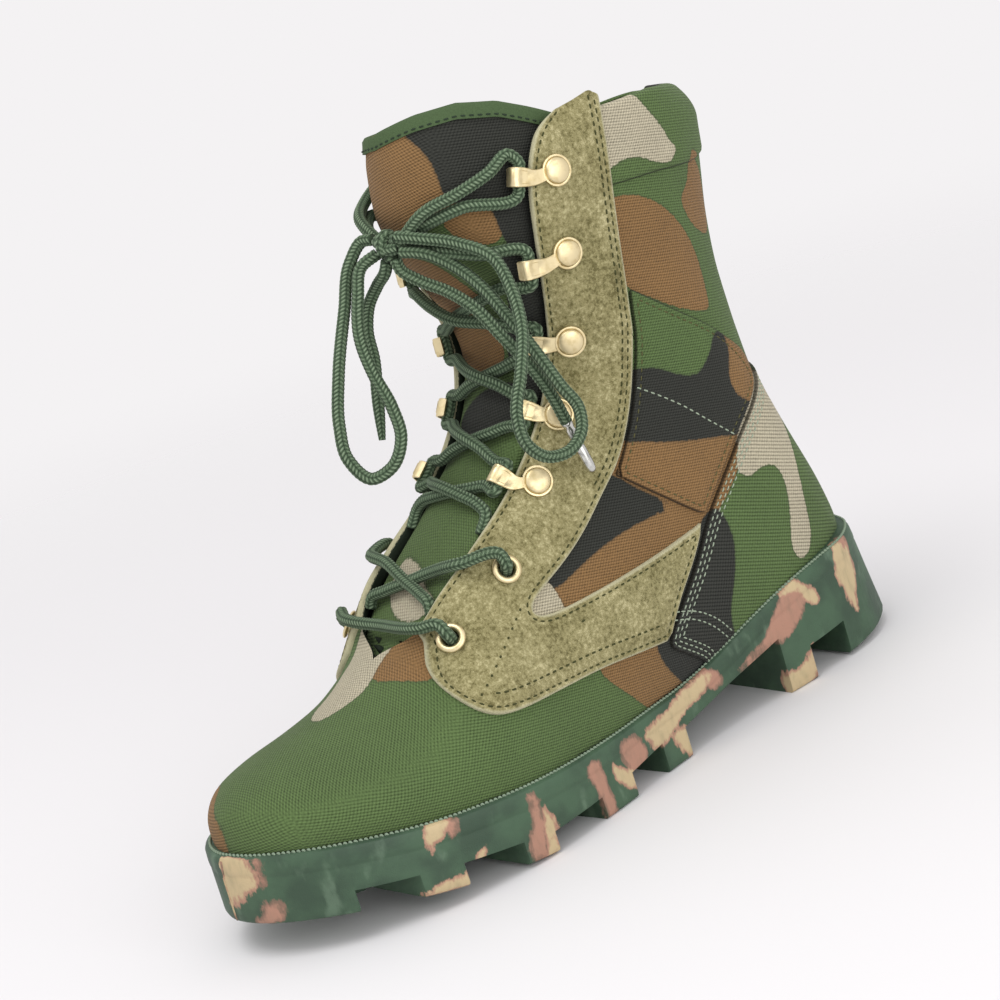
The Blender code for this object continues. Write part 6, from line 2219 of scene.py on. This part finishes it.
@dataclass
class Sewing:
    """Stitched seams on the upper."""

    upper: Upper
    # Heights of the thread on suede, on canvas layers, and further up where layers cross
    suede_top: float = 1.63
    cloth_top: float = 1.15
    suede_crossing: float = 0.3
    cloth_crossing: float = 0.25
    dot_rise: float = 0.2
    throat_rows: tuple[float, float] = (8.0, 28.8)
    throat_gap: float = 2.4
    # Rows along the facing: distance from its edge, and the box that they stay in
    facing_rows: tuple[tuple[float, tuple[float, ...] | None], ...] = (
        (2.2, None),
        (4.3, (80.0, 98.0, 136.0, 250.0)),
        (6.6, (130.0, 40.0, 206.0, 66.0)),
    )
    dot_line: Rows = ((180.0, 79.5), (211.0, 58.5))
    counter_rows: tuple[float, ...] = (1.6, 3.4, 5.2)
    counter_box: tuple[float, ...] = (40.0, 20.0, 140.0, 118.0)
    band_row: float = 2.4
    # Seams off the outlines, seen from the side: x, z
    front_seam: Rows = ((124.0, 50.2), (115.0, 46.9), (104.9, 39.6), (97.8, 31.8))
    rear_seam: Rows = ((122.0, 52.6), (113.5, 49.4), (102.6, 41.6), (95.4, 33.4))
    band_seam: Rows = ((108.0, 133.0), (99.0, 126.0), (92.0, 120.0), (83.0, 111.0), (73.0, 101.5))

    def row(self, thread: Thread, spots: Array, side: int, height: float) -> None:
        """Lays stitches along points seen from the side, where they are on the upper."""
        u, s = FORM.locate(spots)
        good = (s >= 0.0) & (s < BY_THE_EDGE) & (u > 0.2) & (u < TOP_ROW - 0.05)
        start = 0
        for k in range(len(spots) + 1):
            if k < len(spots) and good[k]:
                continue
            if k - start > 3:
                base, out = dressed(u[start:k], s[start:k], float(side))
                thread.lay(base + out * height, out)
            start = k + 1

    @staticmethod
    def inset(outline: Rows, distance: float, box: tuple[float, ...] | None = None) -> list[Array]:
        """Stretches of an outline moved inwards.

        Args:
            outline: Closed outline.
            distance: How far the line moves in.
            box: Lowest x, lowest z, highest x and highest z that are kept.

        Returns:
            The stretches that stay clear of other edges.
        """
        ring = rounded(outline, 4)
        ahead = np.roll(ring, -1, 0) - np.roll(ring, 1, 0)
        across = unit(np.column_stack((-ahead[:, 1], ahead[:, 0])))
        if np.median(inside_by(ring + across * 0.5, ring)) < 0:
            across = -across
        moved = ring + across * distance
        good = inside_by(moved, ring) > distance - 0.12
        if box:
            good &= ((moved > box[:2]) & (moved < box[2:])).all(axis=1)
        if not good.any():
            return []
        first = int(np.argmin(good)) if not good.all() else 0
        moved, good = np.roll(moved, -first, 0), np.roll(good, -first)
        breaks = np.flatnonzero(np.diff(np.concatenate(([0], good.astype(int), [0]))))
        return [moved[a:b] for a, b in zip(breaks[::2], breaks[1::2]) if b - a > 3]

    def build(self, dark: Material, light: Material, earth: Material) -> None:
        """Adds all visible seams."""
        dark_rows, dots = Thread(0.34, 2.1, 3.0), Thread(0.42, 1.3, 3.7)
        light_rows, earth_rows = Thread(0.30, 2.1, 2.8), Thread(0.28, 2.0, 2.9)
        crossing = self.cloth_top + self.cloth_crossing
        for side in (1, -1):
            for distance, box in self.facing_rows:
                height = self.suede_top + (self.suede_crossing if box else 0.0)
                for part in self.inset(self.upper.eyestay, distance, box):
                    self.row(dark_rows, part, side, height)
            self.row(dots, np.linspace(*self.dot_line, 24), side, self.suede_top + self.dot_rise)
            u = np.linspace(*self.throat_rows, 220)
            reach = np.linalg.norm(FORM.surface(u, 1.0, side) - FORM.surface(u, 0.9, side), axis=1)
            base, out = dressed(u, 1.0 - 0.1 * self.throat_gap / reach, float(side))
            dark_rows.lay(base + out * self.suede_top, out)
            for distance in self.counter_rows:
                for part in self.inset(self.upper.heel_counter, distance, self.counter_box):
                    self.row(light_rows, part, side, self.cloth_top)
            for seam, spacing in ((self.front_seam, 1.5), (self.rear_seam, 1.5), (self.band_seam, 2.0)):
                self.row(light_rows, stretch(np.array(seam), np.array(seam), spacing), side, crossing)
            for part in self.inset(self.upper.ankle_band, self.band_row):
                self.row(earth_rows, part, side, self.cloth_top)
        dark_rows.build("facing_thread", dark)
        dots.build("facing_dots", dark)
        light_rows.build("counter_thread", light)
        earth_rows.build("band_thread", earth)


@dataclass
class Studio:
    """Floor, world, lights and camera of the photograph."""

    # Camera in millimetres of the boot's frame, and its own axes
    eye: tuple[float, float, float] = (652.3, 765.6, 337.0)
    right: tuple[float, float, float] = (-0.7602, 0.5836, -0.2854)
    down: tuple[float, float, float] = (0.3744, 0.0346, -0.9266)
    forward: tuple[float, float, float] = (-0.5309, -0.8113, -0.2448)
    lens: float = 94.8
    backdrop: Colour = (244, 242, 243)
    floor_radius: float = 3.0

    def camera(self) -> None:
        """Adds the camera."""
        data = bpy.data.cameras.new("camera")
        data.lens, data.sensor_width = self.lens, 36.0
        data.clip_start, data.clip_end = 0.05, 50.0
        eye = bpy.data.objects.new("camera", data)
        axes = [Vector(self.right), -Vector(self.down), -Vector(self.forward)]
        turn = Matrix([[axis[row] for axis in axes] for row in range(3)]).to_quaternion().to_matrix().to_4x4()
        eye.matrix_world = Matrix.Translation(Vector(FORM.place(self.eye))) @ turn
        bpy.context.scene.collection.objects.link(eye)
        bpy.context.scene.camera = eye

    def lamp(self, name: str, across: float, up: float, towards: float, distance: float, size: float,
             watts: float) -> None:
        """Adds a soft square lamp, placed along the camera's own axes and aimed at the boot."""
        data = bpy.data.lights.new(name, "AREA")
        data.shape, data.size, data.energy = "SQUARE", size, watts
        made = bpy.data.objects.new(name, data)
        way = Vector(self.right) * across - Vector(self.down) * up - Vector(self.forward) * towards
        middle = Vector((0.0, 0.0, 0.1))
        made.location = middle + way.normalized() * distance
        made.rotation_mode = "QUATERNION"
        made.rotation_quaternion = (middle - made.location).to_track_quat("-Z", "Y")
        bpy.context.scene.collection.objects.link(made)

    def floor(self) -> None:
        """Adds a pale floor that fades into the backdrop."""
        steps, rings = 96, (0.4, 0.8, 1.4, 2.2, self.floor_radius)
        mesh = bpy.data.meshes.new("floor")
        points = [(r * math.cos(2 * math.pi * k / steps), r * math.sin(2 * math.pi * k / steps), 0.0)
                  for r in rings for k in range(steps)]
        middle, _, *rest = tube_faces(len(rings), steps)
        mesh.from_pydata(points, [], [middle] + rest)
        made = bpy.data.objects.new("floor", mesh)
        bpy.context.scene.collection.objects.link(made)
        shade = Shade("pale_floor")
        spot = shade.node("ShaderNodeTexCoord", output="Object")
        far = shade.node("ShaderNodeVectorMath", {"operation": "LENGTH"}, {0: spot}, "Value")
        shade.dress(srgb(226, 225, 226), 0.9, Specular_IOR_Level=0.1)
        clear = shade.node("ShaderNodeBsdfTransparent")
        surface = Value(shade, shade.shader.outputs["BSDF"])
        fade = shade.node("ShaderNodeMixShader", None, {0: far.step(0.35, 1.1), 1: surface, 2: clear})
        shade.feed(shade.tree.nodes["Material Output"].inputs["Surface"], fade)
        mesh.materials.append(shade.material)

    def build(self) -> None:
        """Adds camera, world, floor and lamps."""
        scene = bpy.context.scene
        scene.view_settings.view_transform = "Standard"
        scene.view_settings.look = "None"
        self.camera()
        world = bpy.data.worlds.new("studio")
        world.use_nodes = True
        sky = world.node_tree.nodes["Background"]
        sky.inputs["Color"].default_value = srgb(*self.backdrop)
        sky.inputs["Strength"].default_value = 1.0
        scene.world = world
        self.floor()
        self.lamp("key", -0.55, 0.85, 0.60, 1.3, 0.7, 6.5)
        self.lamp("fill", 0.45, 0.18, 1.0, 1.7, 1.3, 11.0)


def main() -> None:
    """Builds the boot piece by piece, then the studio."""
    logging.basicConfig(level=logging.INFO, format="%(message)s")
    noise.seed_set(NOISE_SEED)
    Studio().build()
    cord = BraidedCord().make()
    brass = PlatedMetal("pale_brass", (228, 212, 170), (210, 192, 146), 0.42).make()
    steel = PlatedMetal("bright_steel", (205, 205, 200), (150, 150, 146), 0.25).make()
    canvas = PrintedCanvas().make()
    suede = BrushedSuede().make()
    lining = PlainCloth("dark_lining", (38, 46, 36)).make()
    tongue = Tongue()
    Lacing(tongue).build(cord, steel)
    Sole().build(MarbledRubber().make(), PlainCloth("welt_thread", (128, 144, 124), 0.5, 0.7).make())
    Footbed().build(PlainCloth("footbed_cloth", (48, 52, 46)).make())
    upper = Upper()
    upper.shell(canvas, lining)
    Cuff().build(canvas)
    upper.layers(canvas, PrintedCanvas("ribbed_canvas", Grain.RIBBED, pitch=1.3).make(), suede)
    tongue.build(canvas, lining, PlainCloth("green_tape", (70, 88, 58), 0.6).make())
    Fixings().build(brass)
    threads = {"thread_dark": (62, 64, 36), "thread_light": (150, 162, 142), "thread_earth": (86, 84, 54)}
    Sewing(upper).build(*(PlainCloth(name, colour).make() for name, colour in threads.items()))


if __name__ == "__main__":
    main()
